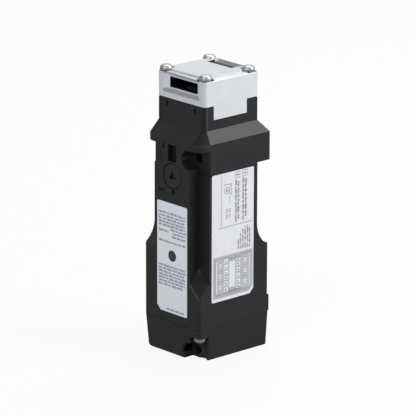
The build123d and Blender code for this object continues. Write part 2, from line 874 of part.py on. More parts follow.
# Operating rod: domed tip, guide stretch, spring shoulder, long neck and a foot over the door switch
with BuildPart() as operating_rod:
    disc(0, 0, rod_radius, (shoulder_top, rod_top))
    fillet(edges().group_by(Axis.Z)[-1], rod_radius - rest_gap)
    disc(0, 0, rod_shoulder_radius, (shoulder_bottom, shoulder_top))
    disc(0, 0, rod_neck_radius, (rod_foot_bottom, shoulder_bottom))
    with BuildSketch(Plane.XY.offset(rod_foot_bottom)):
        Circle(rod_foot_radius)
        with Locations((switch_x, door_switch_y)):
            Circle(rod_foot_radius)
        make_hull()
    extrude(amount=rod_foot_thickness)
save("operating_rod", operating_rod)

with BuildPart() as rod_seal:
    disc(0, 0, seal_radius, (cam_well_floor - seal_height, cam_well_floor))
    disc(0, 0, rod_radius + running_gap, (cam_well_floor - seal_height, cam_well_floor), Mode.SUBTRACT)
save("rod_seal", rod_seal)

with BuildPart() as rod_spring:
    coil(0, 0, rod_spring_radius, rod_spring_wire, (plate_top, shoulder_bottom), rod_spring_turns)
save("rod_spring", rod_spring)

with BuildPart() as rod_lock_ring:
    disc(0, 0, ring_radius, (ring_bottom, ring_top))
    disc(0, 0, rod_neck_radius, (ring_bottom, ring_top), Mode.SUBTRACT)
save("rod_lock_ring", rod_lock_ring)

# Plate under the housing roof: it guides the slide from above and seats the rod's spring
with BuildPart() as mechanism_plate:
    plate_half = cavity_x - seat_gap
    block((-plate_half, plate_half), (plate_front, cavity_back - seat_gap), (plate_bottom, plate_top))
    disc(0, 0, ring_radius + rest_gap, (plate_bottom, ring_top + rod_travel + rest_gap), Mode.SUBTRACT)
    disc(0, 0, rod_neck_radius + rest_gap, (plate_bottom, plate_top), Mode.SUBTRACT)
save("mechanism_plate", mechanism_plate)

# Lock slide: a tooth that passes under the rod's ring, two cheeks for the pin, and a lug for the unlock crank
with BuildPart() as lock_slide:
    block((slide_tip - slide_length, slide_tip), (cheek_front, cheek_back), (slide_bottom, slide_top))
    for cheek_y in (cheek_front, cheek_back - cheek_thickness):
        block(
            (slide_pin_x - cheek_width / 2, slide_pin_x + cheek_width / 2),
            (cheek_y, cheek_y + cheek_thickness),
            (slide_pin_z - cheek_tail, slide_bottom),
        )
    block((slide_tip - lug_arm_width, slide_tip), (lug_back, cheek_front), (slide_bottom, slide_top))
    lug_stretch = (unlock_z - lug_drop, unlock_z + lug_rise)
    block((lug_face - lug_thickness, lug_face), (lug_front, lug_back), lug_stretch)
    bar(slide_pin_x, slide_pin_z, slide_pin_radius, (cheek_front, cheek_back), Mode.SUBTRACT)
save("lock_slide", lock_slide)

with BuildPart() as lock_slide_pin:
    bar(slide_pin_x, slide_pin_z, slide_pin_radius, (cheek_front, cheek_back))
save("lock_slide_pin", lock_slide_pin)

# Yoke on the armature: a web with a sloped slot, and an arm that presses the lock switch
with BuildPart() as lock_yoke:
    with BuildSketch(Plane.XY.offset(armature_top)):
        with Locations((solenoid_x, solenoid_y)):
            Circle(yoke_base_radius)
        with Locations((solenoid_x, (solenoid_y + yoke_arm_back) / 2)):
            Rectangle(2 * armature_stem_radius, yoke_arm_back - solenoid_y)
        arm_left = solenoid_x - armature_stem_radius
        arm_right = switch_x + yoke_foot
        with Locations(((arm_left + arm_right) / 2, (yoke_arm_front + yoke_arm_back) / 2)):
            Rectangle(arm_right - arm_left, yoke_arm_back - yoke_arm_front)
    extrude(amount=yoke_thickness)
    arm_bottom = switch_top + lock_plunger_rise + rest_gap
    disc(switch_x, lock_switch_y, yoke_arm_width / 2, (arm_bottom, armature_top))
    web_top = slide_bottom - seat_gap - rest_gap
    block((slide_pin_x - yoke_web_reach, slide_tip), (web_front, web_back), (yoke_top, web_top))
    with BuildSketch(at_y(web_front)):
        for reach in (0, lock_travel):
            with Locations((slide_pin_x + reach, slide_pin_z + reach)):
                Circle(slide_pin_radius + pin_slack)
        make_hull()
    extrude(amount=-yoke_web, mode=Mode.SUBTRACT)
save("lock_yoke", lock_yoke)

# Solenoid
with BuildPart() as solenoid_frame:
    half = solenoid_width / 2
    face = (solenoid_y - solenoid_depth / 2, solenoid_y + solenoid_depth / 2)
    block((solenoid_x - half, solenoid_x + half), face, (solenoid_bottom, solenoid_top))
    block(
        (solenoid_x - half + frame_plate, solenoid_x + half - frame_plate),
        face,
        (solenoid_bottom + frame_plate, solenoid_top - frame_plate),
        Mode.SUBTRACT,
    )
    hole = armature_stem_radius + seat_gap
    disc(solenoid_x, solenoid_y, hole, (solenoid_top - frame_plate, solenoid_top), Mode.SUBTRACT)
save("solenoid_frame", solenoid_frame)

bobbin_bottom = solenoid_bottom + frame_plate
bobbin_top = solenoid_top - frame_plate
with BuildPart() as coil_bobbin:
    disc(solenoid_x, solenoid_y, bobbin_flange_radius, (bobbin_bottom, bobbin_bottom + bobbin_flange))
    disc(solenoid_x, solenoid_y, bobbin_flange_radius, (bobbin_top - bobbin_flange, bobbin_top))
    disc(solenoid_x, solenoid_y, armature_radius + seat_gap + bobbin_wall, (bobbin_bottom, bobbin_top))
    disc(solenoid_x, solenoid_y, armature_radius + seat_gap, (bobbin_bottom, bobbin_top), Mode.SUBTRACT)
save("coil_bobbin", coil_bobbin)

with BuildPart() as coil_winding:
    inside = armature_radius + seat_gap + bobbin_wall
    stretch = (bobbin_bottom + bobbin_flange, bobbin_top - bobbin_flange)
    disc(solenoid_x, solenoid_y, bobbin_flange_radius - winding_inset, stretch)
    disc(solenoid_x, solenoid_y, inside, stretch, Mode.SUBTRACT)
save("coil_winding", coil_winding)

with BuildPart() as fixed_core:
    disc(solenoid_x, solenoid_y, armature_radius, (bobbin_bottom, bobbin_bottom + core_height))
save("fixed_core", fixed_core)

with BuildPart() as armature:
    disc(solenoid_x, solenoid_y, armature_radius, (armature_bottom, bobbin_top - rest_gap))
    disc(solenoid_x, solenoid_y, armature_stem_radius, (bobbin_top - rest_gap, armature_top))
save("armature", armature)

with BuildPart() as armature_spring:
    coil(
        solenoid_x,
        solenoid_y,
        armature_spring_radius,
        armature_spring_wire,
        (solenoid_top, armature_top),
        armature_spring_turns,
    )
save("armature_spring", armature_spring)

# Two switch blocks, each with its plunger, bridge and fixed contacts
for name, middle, rise, contact_reach in (
    ("door", door_switch_y, switch_drop + lock_gap - rest_gap, rod_travel),
    ("lock", lock_switch_y, lock_plunger_rise, -lock_travel),
):
    inner_left = switch_x - switch_width / 2 + switch_wall
    inner_half = switch_depth / 2 - switch_wall
    with BuildPart() as switch_block:
        block(
            (switch_x - switch_width / 2, switch_right),
            (middle - switch_depth / 2, middle + switch_depth / 2),
            (switch_bottom, switch_top),
        )
        block(
            (inner_left, switch_right),
            (middle - inner_half, middle + inner_half),
            (switch_bottom + switch_roof, switch_top - switch_roof),
            Mode.SUBTRACT,
        )
        hole = switch_plunger_radius + running_gap
        disc(switch_x, middle, hole, (switch_top - switch_roof, switch_top), Mode.SUBTRACT)
    save(name + "_switch_block", switch_block)

    with BuildPart() as plunger:
        disc(switch_x, middle, switch_plunger_radius, (bridge_z + bridge_thickness, switch_top + rise))
        fillet(edges().group_by(Axis.Z)[-1], rest_gap)
        disc(switch_x, middle, switch_plunger_radius, (bridge_z - plunger_tail, bridge_z))
        disc(switch_x, middle, switch_plunger_radius / 2, (bridge_z, bridge_z + bridge_thickness))
    save(name + "_switch_plunger", plunger)

    with BuildPart() as bridge:
        block(
            (switch_x - bridge_width / 2, switch_x + bridge_width / 2),
            (middle - bridge_length / 2, middle + bridge_length / 2),
            (bridge_z, bridge_z + bridge_thickness),
        )
        through = (bridge_z, bridge_z + bridge_thickness)
        disc(switch_x, middle, switch_plunger_radius / 2, through, Mode.SUBTRACT)
    save(name + "_contact_bridge", bridge)

    if contact_reach > 0:
        contact_bottom = bridge_z + bridge_thickness + contact_reach + seat_gap
    else:
        contact_bottom = bridge_z + contact_reach - seat_gap - contact_thickness
    with BuildPart() as contacts:
        for side in (-1, 1):
            tab = sorted((middle + side * inner_half, middle + side * (switch_plunger_radius + rest_gap)))
            block(
                (switch_x - bridge_width / 2, switch_right),
                tab,
                (contact_bottom, contact_bottom + contact_thickness),
            )
    save(name + "_fixed_contacts", contacts)

# Terminal block: it carries the solenoid and the switch blocks, with its screws facing the cover
with BuildPart() as terminal_block:
    block(
        (-cavity_x + seat_gap, cavity_x - seat_gap),
        (cavity_front + seat_gap, cavity_back - seat_gap),
        (terminal_bottom, terminal_top),
    )
    with Locations(Plane.XY.offset(terminal_bottom)):
        with GridLocations(terminal_pitch, 2 * terminal_row, terminals_in_row, 2):
            Cylinder(
                terminal_shank_radius,
                terminal_shank_length,
                align=(Align.CENTER, Align.CENTER, Align.MIN),
                mode=Mode.SUBTRACT,
            )
    for step in range(terminals_in_row - 1):
        rib_x = (step + 1 - terminals_in_row / 2) * terminal_pitch
        block(
            (rib_x - terminal_rib / 2, rib_x + terminal_rib / 2),
            (cavity_front + seat_gap, cavity_back - seat_gap),
            (terminal_bottom - terminal_rib_drop, terminal_bottom),
        )
save("terminal_block", terminal_block)

with BuildPart() as terminal_screws:
    with Locations(Plane.XY.offset(terminal_bottom)):
        with GridLocations(terminal_pitch, 2 * terminal_row, terminals_in_row, 2):
            shank_up = (Align.CENTER, Align.CENTER, Align.MIN)
            head_down = (Align.CENTER, Align.CENTER, Align.MAX)
            Cylinder(terminal_shank_radius, terminal_shank_length, align=shank_up)
            Cylinder(terminal_head_radius, terminal_head_height, align=head_down)
save("terminal_screws", terminal_screws)

# Indicator: board in the front hollow, lamp on it and a lens in the wall
with BuildPart() as indicator_lens:
    bar(0, indicator_z, lens_radius, (front_y + unlock_set_back, strip_cavity_front))
    fillet(faces().sort_by(Axis.Y)[0].edges(), rest_gap)
    bar(0, indicator_z, lens_flange_radius, (strip_cavity_front, strip_cavity_front + lens_flange))
save("indicator_lens", indicator_lens)

lamp_front = strip_cavity_front + lens_flange + seat_gap
board_front = lamp_front + lamp_length
with BuildPart() as indicator_lamp:
    bar(0, indicator_z, lamp_radius, (lamp_front, board_front))
    fillet(faces().sort_by(Axis.Y)[0].edges(), lamp_radius / 2)
save("indicator_lamp", indicator_lamp)

with BuildPart() as indicator_board:
    block(
        (-strip_cavity_x + seat_gap, strip_cavity_x - seat_gap),
        (board_front, board_front + board_thickness),
        (indicator_z - board_below, strip_cavity_top - board_drop),
    )
save("indicator_board", indicator_board)

# Manual unlock: disc with a three cornered key socket, O-ring on its shaft, crank behind the wall
with BuildPart() as unlock_disc:
    bar(0, unlock_z, unlock_disc_radius, (unlock_seat_y - unlock_disc_thickness, unlock_seat_y))
    bar(0, unlock_z, unlock_shaft_radius, (unlock_seat_y, crank_front))
    bar(0, unlock_z, crank_bore_radius, (crank_front, crank_back))
    with BuildSketch(at_y(unlock_seat_y - unlock_disc_thickness)):
        with Locations((0, unlock_z)):
            RegularPolygon(key_socket_radius, 3, rotation=key_socket_turn)
    extrude(amount=-key_socket_depth, mode=Mode.SUBTRACT)
    groove = (o_ring_y - o_ring_radius - label_gap, o_ring_y + o_ring_radius + label_gap)
    with BuildSketch(at_y(groove[0])):
        with Locations((0, unlock_z)):
            Circle(unlock_shaft_radius)
            Circle(o_ring_middle - o_ring_radius, mode=Mode.SUBTRACT)
    extrude(amount=groove[0] - groove[1], mode=Mode.SUBTRACT)
save("unlock_disc", unlock_disc)

with BuildPart() as unlock_o_ring:
    with BuildSketch(Plane.YZ):
        with Locations((o_ring_y, unlock_z + o_ring_middle)):
            Circle(o_ring_radius)
    revolve(axis=Axis((0, 0, unlock_z), (0, 1, 0)))
save("unlock_o_ring", unlock_o_ring)

with BuildPart() as unlock_crank:
    with BuildSketch(at_y(crank_front)):
        with Locations((0, unlock_z)):
            Circle(crank_hub_radius)
        with Locations((0, unlock_z - crank_orbit)):
            Circle(crank_arm_radius)
        make_hull()
        with Locations((0, unlock_z)):
            Circle(crank_bore_radius, mode=Mode.SUBTRACT)
    extrude(amount=-crank_thickness)
    bar(0, unlock_z - crank_orbit, crank_pin_radius, (crank_back, crank_back + crank_pin_length))
save("unlock_crank", unlock_crank)

# Labels, flush in their recesses
with BuildPart() as front_label:
    with BuildSketch(at_y(front_y)):
        label_outline(front_label_width, front_label_bottom, front_label_top, 0, -1, 0)
        with Locations((0, indicator_z)):
            Circle(lens_radius + label_gap, mode=Mode.SUBTRACT)
    extrude(amount=-label_thickness)
save("front_label", front_label)

with BuildPart() as side_label:
    with BuildSketch(Plane.YZ.offset(side_x)):
        label_outline(side_label_width, side_label_bottom, side_label_top, side_label_y, 1, 0)
    extrude(amount=-label_thickness)
save("side_label", side_label)
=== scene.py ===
import json
import math
import random

import bmesh
import bpy
from mathutils import Matrix, Vector

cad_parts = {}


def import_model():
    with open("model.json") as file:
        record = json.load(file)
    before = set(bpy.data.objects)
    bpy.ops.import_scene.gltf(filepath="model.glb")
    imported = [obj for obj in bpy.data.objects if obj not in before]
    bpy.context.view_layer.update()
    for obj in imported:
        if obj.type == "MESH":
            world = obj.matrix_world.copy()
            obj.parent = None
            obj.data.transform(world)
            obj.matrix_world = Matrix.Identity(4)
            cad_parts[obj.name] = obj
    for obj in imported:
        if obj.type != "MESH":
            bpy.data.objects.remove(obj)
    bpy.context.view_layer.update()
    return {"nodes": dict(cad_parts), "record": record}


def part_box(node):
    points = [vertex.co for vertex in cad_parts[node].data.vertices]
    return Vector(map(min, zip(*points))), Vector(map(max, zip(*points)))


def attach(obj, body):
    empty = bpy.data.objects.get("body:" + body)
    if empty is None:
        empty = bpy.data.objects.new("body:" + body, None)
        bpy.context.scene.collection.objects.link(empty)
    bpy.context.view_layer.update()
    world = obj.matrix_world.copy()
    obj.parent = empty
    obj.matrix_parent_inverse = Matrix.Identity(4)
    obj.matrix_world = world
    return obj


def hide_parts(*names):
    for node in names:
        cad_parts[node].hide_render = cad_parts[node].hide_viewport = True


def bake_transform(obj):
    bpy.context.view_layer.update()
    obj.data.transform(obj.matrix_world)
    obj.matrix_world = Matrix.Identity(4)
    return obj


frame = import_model()
nodes = frame["nodes"]

# Millimetres in metres
MM = 0.001

# Camera at the photograph's angle: its aim is a point on the part's axis, moved a little in the picture
VIEW_AZIMUTH = math.radians(47.7)
VIEW_ELEVATION = math.radians(16.6)
VIEW_ROLL = math.radians(0.17)
VIEW_DISTANCE = 1667.83 * MM
AIM_HEIGHT = 70 * MM
AIM_RIGHT = 0.39 * MM
AIM_UP = -8.44 * MM
LENS = 338.7
SENSOR_WIDTH = 36
CLIP_NEAR = 0.1
CLIP_FAR = 30

# Lamps: name, azimuth and elevation in degrees, distance and size in metres, power in watts
LAMPS = (
    ("key", 128, 28, 1.1, 0.72, 8.1),
    ("fill", 20, 35, 1.4, 0.9, 5.5),
    ("top", 215, 60, 1.2, 0.8, 6.8),
)

# Floor: width and patches in metres, tones, the share of white glow that the camera sees, and mirrored glow
FLOOR_SIZE = 12
FLOOR_PATCH = 0.5
FLOOR_TONES = ((0.78, 0.78, 0.78), (0.80, 0.80, 0.80))
FLOOR_ROUGHNESS = 0.9
FLOOR_SEEN = 0.9
FLOOR_MIRRORED = 0.32

# Sky: how bright it is as a light, and for mirrored rays
SKY_LIGHT = 0.28
SKY_MIRRORED = 0.38

# Screws: pan heads with a tapered cross, and a thread drawn as plain rings
HEAD_RADIUS = 2.7 * MM
HEAD_HEIGHT = 2.6 * MM
HEAD_CHAMFER = 0.15 * MM
HEAD_RIM = 0.9 * MM
DOME_REACH = 1.1 * MM
DOME_DROP = 0.25 * MM
DOME_STEPS = 6
CROWN_RADIUS = 0.8 * MM
CROWN_DROP = 0.06 * MM
CROSS_REACH = 1.40 * MM
CROSS_WIDTH = 0.44 * MM
CROSS_DEPTH = 1.10 * MM
CROSS_TAPER = 0.3
CUTTER_RISE = 0.3 * MM
COVER_SEAT = 2.0 * MM
THREAD_PITCH = 0.5 * MM
THREAD_OUTER = 1.45 * MM
THREAD_ROOT = 1.22 * MM
PLAIN_SHANK = 2.5 * THREAD_PITCH

# Lens of the indicator
LENS_RADIUS = 2.4 * MM
LENS_DOME_SHARE = 0.92
LENS_DOME_ANGLE = math.radians(60)
LENS_DOME_FALL = 0.7 * MM
LENS_DOME_STEPS = 5
LENS_SHOULDER = 0.5 * MM
LENS_FLANGE_DEPTH = 0.6 * MM

# Steps of round shapes
LATHE_STEPS = 40
COIL_STEPS = 40
WIRE_STEPS = 10
RING_STEPS = 24

# Edges: distance at which seams join, and the rounding of the CAD nodes' sharp edges
SEAM = 0.001 * MM
EDGE_SEGMENTS = 2
EDGE_ANGLE = 32
EDGE_WIDTHS = (
    ("main_housing", 0.28 * MM),
    ("bottom_cover", 0.25 * MM),
    ("head_housing", 0.22 * MM),
    ("unlock_disc", 0.15 * MM),
)
SCREW_EDGE_WIDTH = 0.06 * MM
SCREW_EDGE_ANGLE = 38

# Angles in degrees over which an edge of a smooth piece stays sharp
SCREW_SHARP = 40
COIL_SHARP = 60
LENS_SHARP = 35

# Stretches of a surface that carry painted shade, light and shadow, as lowest and highest corners in
# millimetres
FUNNEL_FLOOR = ((-11.38, -14.97, 113.2), (11.38, -13.3, 114.8))
FUNNEL_ROOF = ((-11.38, -14.97, 120.95), (11.38, -13.3, 122.15))
FUNNEL_SIDES = ((8.66, 13.3, 114.8), (11.38, 14.97, 120.95))
FRONT_SLOT = ((-11.5, -13.34, 100), (11.5, 11.19, 120.9))
TOP_SLOT = ((-7.75, 6.65, 100), (7.75, 11.19, 123.17))
TOP_RAMP = ((-8.09, 11.19, 121.6), (8.09, 14.98, 123.1))
RAMP_FOOT = ((-8.09, 11.19, 121.5), (8.09, 14.98, 121.98))
NECK_EDGES = ((12.9, 14.45, 95.3), (14.7, 15.1, 110.6))
COLLAR_FACETS = (((12.6, -20.1, 95.25), (17.6, -14, 100.7)), ((-17.6, -20.1, 95.25), (-12.6, -14, 100.7)))
PARTING_LINE = ((-20, -22, 14.2), (20, 22, 14.65))
CHANNELS = ((9, 12, 25), (17.3, 19.6, 62))
# Heights at which the channels' painted shade and roughness are full and where they are gone
CHANNEL_SHADE_FULL = 36 * MM
CHANNEL_CLEAR = 52 * MM
WINDOW = ((-2.55, -19.8, 85.55), (2.55, -17.45, 92.65))
MOUNT_HOLES = ((7.9, 8, 85.9), (12.1, 15.2, 90.1))
POCKET_WALLS = ((5.9, 15.5, 83.7), (9.0, 19.7, 92.1))
POCKET_REACH = 3.57 * MM
POCKET_LEVELS = (121.8 * MM, 122.26 * MM)

# Tones of those stretches: painted light on the funnel's sides, painted shadow in the screw pockets and
# painted shade in the rest, and the roughness of the shaded stretches on the black mouldings
FUNNEL_FLOOR_SHADE = (0.42, 0.44, 0.47)
FUNNEL_ROOF_SHADE = (0.45, 0.46, 0.50)
FUNNEL_SIDE_LIGHT = (0.78, 0.82, 0.87)
RAMP_SHADE = (0.17, 0.18, 0.19)
POCKET_SHADOW = (0.006, 0.006, 0.007)
SLOT_SHADE = (0.012, 0.012, 0.013)
PAINTED_SHADE_TONE = (0.0085, 0.0085, 0.0095)
HOLLOW_SHADE_TONE = (0.0008, 0.0008, 0.001)
DULL_ROUGHNESS = 0.85

# Silver paint of the head: tones, plain roughness and its range, coat, grain and its relief
SILVER_TONES = ((0.70, 0.72, 0.75), (0.75, 0.77, 0.80))
SILVER_PLAIN = 0.3
SILVER_ROUGHNESS = (0.34, 0.46)
SILVER_METALLIC = 0.12
SILVER_COAT = 0.12
SILVER_COAT_ROUGHNESS = 0.12
SILVER_PATCH = 7 * MM
SILVER_GRAIN = 0.22 * MM
SILVER_RELIEF = 0.004 * MM

# Black mouldings: dark tone, light tone, lowest and highest roughness
BLACKS = {
    "housing_plastic": ((0.0108, 0.0112, 0.0130), (0.0145, 0.0150, 0.0172), (0.38, 0.50)),
    "cover_plastic": ((0.0095, 0.0100, 0.0110), (0.0130, 0.0136, 0.0148), (0.40, 0.52)),
}
BLACK_GRAIN = 0.16 * MM
BLACK_RELIEF = 0.006 * MM

# Enamelled copper: tones, the wire's pitch and relief, and how much its turns waver
COPPER_TONES = ((0.35, 0.12, 0.05), (0.72, 0.32, 0.16))
COPPER_ROUGHNESS = 0.25
COPPER_METALLIC = 0.9
COPPER_PITCH = 0.22 * MM
COPPER_RELIEF = COPPER_PITCH / 3
COPPER_WAVER = 0.6

# Metals: dark tone, light tone, lowest and highest roughness, grain and its relief in millimetres
METALS = {
    "screw_steel": ((0.50, 0.50, 0.49), (0.60, 0.60, 0.59), (0.36, 0.46), 0.30, 0.002),
    # The cam's steel is near black, partly as painted shade for the slot that it is seen through
    "cam_steel": ((0.045, 0.045, 0.050), (0.075, 0.075, 0.080), (0.42, 0.60), 0.12, 0.006),
    "shaft_steel": ((0.55, 0.55, 0.56), (0.66, 0.66, 0.67), (0.18, 0.30), 0.05, 0.001),
    "spring_steel": ((0.48, 0.47, 0.45), (0.60, 0.59, 0.57), (0.22, 0.34), 0.06, 0.001),
    "slide_steel": ((0.50, 0.50, 0.48), (0.62, 0.61, 0.58), (0.28, 0.42), 0.05, 0.001),
    "frame_steel": ((0.50, 0.52, 0.55), (0.66, 0.67, 0.66), (0.26, 0.46), 0.90, 0.002),
    "core_steel": ((0.46, 0.46, 0.47), (0.56, 0.56, 0.57), (0.24, 0.36), 0.06, 0.001),
    "contact_brass": ((0.60, 0.44, 0.20), (0.74, 0.56, 0.28), (0.22, 0.36), 0.06, 0.001),
}

# Other surfaces, in the same order of values
OTHERS = {
    "rod_plastic": ((0.70, 0.68, 0.62), (0.76, 0.74, 0.68), (0.35, 0.45), 0.30, 0.003),
    "seal_rubber": ((0.012, 0.012, 0.012), (0.022, 0.022, 0.022), (0.65, 0.80), 0.10, 0.004),
    "plate_plastic": ((0.030, 0.032, 0.036), (0.042, 0.044, 0.048), (0.40, 0.50), 0.25, 0.004),
    "yoke_plastic": ((0.62, 0.60, 0.52), (0.70, 0.68, 0.60), (0.38, 0.48), 0.30, 0.003),
    "bobbin_plastic": ((0.45, 0.43, 0.36), (0.52, 0.50, 0.43), (0.25, 0.35), 0.40, 0.002),
    "switch_plastic": ((0.045, 0.048, 0.055), (0.060, 0.064, 0.072), (0.22, 0.32), 0.30, 0.002),
    "plunger_plastic": ((0.42, 0.05, 0.04), (0.50, 0.07, 0.05), (0.28, 0.38), 0.30, 0.002),
    "terminal_plastic": ((0.10, 0.11, 0.12), (0.13, 0.14, 0.15), (0.36, 0.46), 0.25, 0.004),
    "board_laminate": ((0.015, 0.10, 0.045), (0.022, 0.14, 0.060), (0.25, 0.40), 0.20, 0.002),
    "lamp_clear": ((0.55, 0.75, 0.58), (0.62, 0.82, 0.65), (0.06, 0.12), 0.50, 0.001),
    "lens_green": ((0.005, 0.014, 0.012), (0.010, 0.026, 0.022), (0.10, 0.18), 0.60, 0.001),
    "disc_plastic": ((0.013, 0.0135, 0.015), (0.018, 0.0185, 0.020), (0.36, 0.46), 0.14, 0.005),
    "label_front": ((0.84, 0.88, 0.94), (0.88, 0.92, 0.98), (0.34, 0.44), 0.12, 0.0015),
    "label_side": ((0.73, 0.74, 0.77), (0.77, 0.78, 0.80), (0.34, 0.44), 0.12, 0.0015),
    "ink_blue": ((0.20, 0.20, 0.30), (0.26, 0.26, 0.36), (0.40, 0.52), 0.20, 0.001),
    "ink_grey": ((0.17, 0.17, 0.19), (0.24, 0.24, 0.26), (0.40, 0.52), 0.20, 0.001),
    "ink_panel": ((0.42, 0.43, 0.45), (0.48, 0.49, 0.51), (0.38, 0.50), 0.20, 0.001),
    "mark_black": ((0.0015, 0.0015, 0.0018), (0.0025, 0.0025, 0.0028), (0.60, 0.70), 0.20, 0.002),
}

# Size of the slow patches of colour in millimetres, and the surfaces where it differs
PATCH = 6
PATCHES = {"frame_steel": 3, "lens_green": 2, "label_front": 5, "label_side": 5}

# Grain that is drawn out along one axis, as a scale for each axis
STRETCHES = {
    "shaft_steel": (0.05, 1, 1),
    "slide_steel": (0.06, 1, 1),
    "core_steel": (1, 1, 0.06),
    "contact_brass": (1, 0.06, 1),
}

# Specular level, the surfaces where it differs, and the coats
SPECULAR = 0.5
SPECULARS = {"lamp_clear": 0.6, "lens_green": 0.6, "mark_black": 0.1}
COATS = {"lens_green": 0.9}

# Detail of the slow and the fine noise, and the range that most of a noise's values fall in
SLOW_DETAIL = 3.0
FINE_DETAIL = 2.0
NOISE_RANGE = (0.3, 0.7)

# Sockets of a Mix node that are known by number: both numbers, both colours and the colour that comes out
NUMBER_A = 2
NUMBER_B = 3
COLOUR_A = 6
COLOUR_B = 7
COLOUR_OUT = 2


# Shader steps


def node_material(name, roughness, metallic=0.0, specular=SPECULAR, coat=0.0):
    """A new material with its shader's plain numbers set, and the coordinates that its textures use."""
    material = bpy.data.materials.new(name)
    material.use_nodes = True
    tree = material.node_tree
    shader = tree.nodes["Principled BSDF"]
    shader.inputs["Roughness"].default_value = roughness
    shader.inputs["Metallic"].default_value = metallic
    shader.inputs["Specular IOR Level"].default_value = specular
    shader.inputs["Coat Weight"].default_value = coat
    place = tree.nodes.new("ShaderNodeTexCoord")
    return material, tree, shader, place.outputs["Object"]


def noise(tree, vector, size, detail, stretch=None):
    """Noise whose lumps are about as large as size, in metres. A stretch scales the axes before that."""
    if stretch:
        mapping = tree.nodes.new("ShaderNodeMapping")
        mapping.inputs["Scale"].default_value = stretch
        tree.links.new(vector, mapping.inputs["Vector"])
        vector = mapping.outputs["Vector"]
    texture = tree.nodes.new("ShaderNodeTexNoise")
    texture.inputs["Scale"].default_value = 1 / size
    texture.inputs["Detail"].default_value = detail
    tree.links.new(vector, texture.inputs["Vector"])
    return texture.outputs["Fac"]


def spread(tree, value, low, high, source=NOISE_RANGE):
    """The value mapped from its source range to low and high."""
    ranged = tree.nodes.new("ShaderNodeMapRange")
    ranged.inputs["From Min"].default_value = source[0]
    ranged.inputs["From Max"].default_value = source[1]
    ranged.inputs["To Min"].default_value = low
    ranged.inputs["To Max"].default_value = high
    tree.links.new(value, ranged.inputs["Value"])
    return ranged.outputs["Result"]


def blend_colours(tree, factor, dark, light):
    """A colour between dark and light."""
    mixed = tree.nodes.new("ShaderNodeMix")
    mixed.data_type = "RGBA"
    mixed.inputs[COLOUR_A].default_value = (*dark, 1)
    mixed.inputs[COLOUR_B].default_value = (*light, 1)
    tree.links.new(factor, mixed.inputs[0])
    return mixed.outputs[COLOUR_OUT]


def layered(tree, under, mask, colour):
    """The tone under, with another colour where the mask is one."""
    mixed = tree.nodes.new("ShaderNodeMix")
    mixed.data_type = "RGBA"
    mixed.inputs[COLOUR_B].default_value = (*colour, 1)
    tree.links.new(under, mixed.inputs[COLOUR_A])
    tree.links.new(mask, mixed.inputs[0])
    return mixed.outputs[COLOUR_OUT]


def bump(tree, shader, height, depth):
    """Relief of about that depth, in metres."""
    relief = tree.nodes.new("ShaderNodeBump")
    relief.inputs["Distance"].default_value = depth
    relief.inputs["Strength"].default_value = 1
    tree.links.new(height, relief.inputs["Height"])
    tree.links.new(relief.outputs["Normal"], shader.inputs["Normal"])


def two_way(tree, operation, first, second):
    """A product, the larger of the two or the like."""
    node = tree.nodes.new("ShaderNodeMath")
    node.operation = operation
    tree.links.new(first, node.inputs[0])
    tree.links.new(second, node.inputs[1])
    return node.outputs[0]


def any_of(tree, masks):
    """One where any of the masks is one."""
    found = masks[0]
    for mask in masks[1:]:
        found = two_way(tree, "MAXIMUM", found, mask)
    return found


def compare(tree, operation, value, limit):
    """One where the value is less or greater than the limit, and nothing elsewhere."""
    node = tree.nodes.new("ShaderNodeMath")
    node.operation = operation
    node.inputs[1].default_value = limit
    tree.links.new(value, node.inputs[0])
    return node.outputs[0]


def vector_step(tree, operation, vector, values=None):
    """One step of vector arithmetic."""
    step = tree.nodes.new("ShaderNodeVectorMath")
    step.operation = operation
    tree.links.new(vector, step.inputs[0])
    if values:
        step.inputs[1].default_value = values
    return step.outputs["Value" if operation == "LENGTH" else "Vector"]


def axes_of(tree, vector):
    """The three numbers of a vector."""
    apart = tree.nodes.new("ShaderNodeSeparateXYZ")
    tree.links.new(vector, apart.inputs[0])
    return apart.outputs


def inside_box(tree, place, box):
    """One inside a box whose two corners are in millimetres, and nothing outside it."""
    middle = [(low + high) / 2 * MM for low, high in zip(*box)]
    half = [(high - low) / 2 * MM for low, high in zip(*box)]
    vector = vector_step(tree, "SUBTRACT", place, middle)
    vector = vector_step(tree, "ABSOLUTE", vector)
    vector = vector_step(tree, "DIVIDE", vector, half)
    furthest = any_of(tree, list(axes_of(tree, vector)))
    return compare(tree, "LESS_THAN", furthest, 1)


def screw_pockets(tree, place):
    """One on the floors of the four pockets that the head screws sit in."""
    low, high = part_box("head_screws")
    corner = ((high.x - low.x) / 2 - HEAD_RADIUS, (high.y - low.y) / 2 - HEAD_RADIUS, 0)
    across = vector_step(tree, "ABSOLUTE", place)
    across = vector_step(tree, "SUBTRACT", across, corner)
    across = vector_step(tree, "MULTIPLY", across, (1, 1, 0))
    near = compare(tree, "LESS_THAN", vector_step(tree, "LENGTH", across), POCKET_REACH)
    level = axes_of(tree, place)[2]
    over = compare(tree, "GREATER_THAN", level, POCKET_LEVELS[0])
    under = compare(tree, "LESS_THAN", level, POCKET_LEVELS[1])
    return two_way(tree, "MULTIPLY", near, two_way(tree, "MULTIPLY", over, under))


# Materials


def surfaced(name, dark, light, rough, grain, depth, metallic=0.0):
    """A surface with slow changes of colour, fine changes of gloss, and a fine grain in relief."""
    specular = SPECULARS.get(name, SPECULAR)
    material, tree, shader, place = node_material(name, rough[0], metallic, specular, COATS.get(name, 0.0))
    slow = noise(tree, place, PATCHES.get(name, PATCH) * MM, SLOW_DETAIL)
    fine = noise(tree, place, grain * MM, FINE_DETAIL, STRETCHES.get(name))
    tone = blend_colours(tree, spread(tree, slow, 0, 1), dark, light)
    tree.links.new(tone, shader.inputs["Base Color"])
    tree.links.new(spread(tree, fine, *rough), shader.inputs["Roughness"])
    bump(tree, shader, fine, depth * MM)
    return material


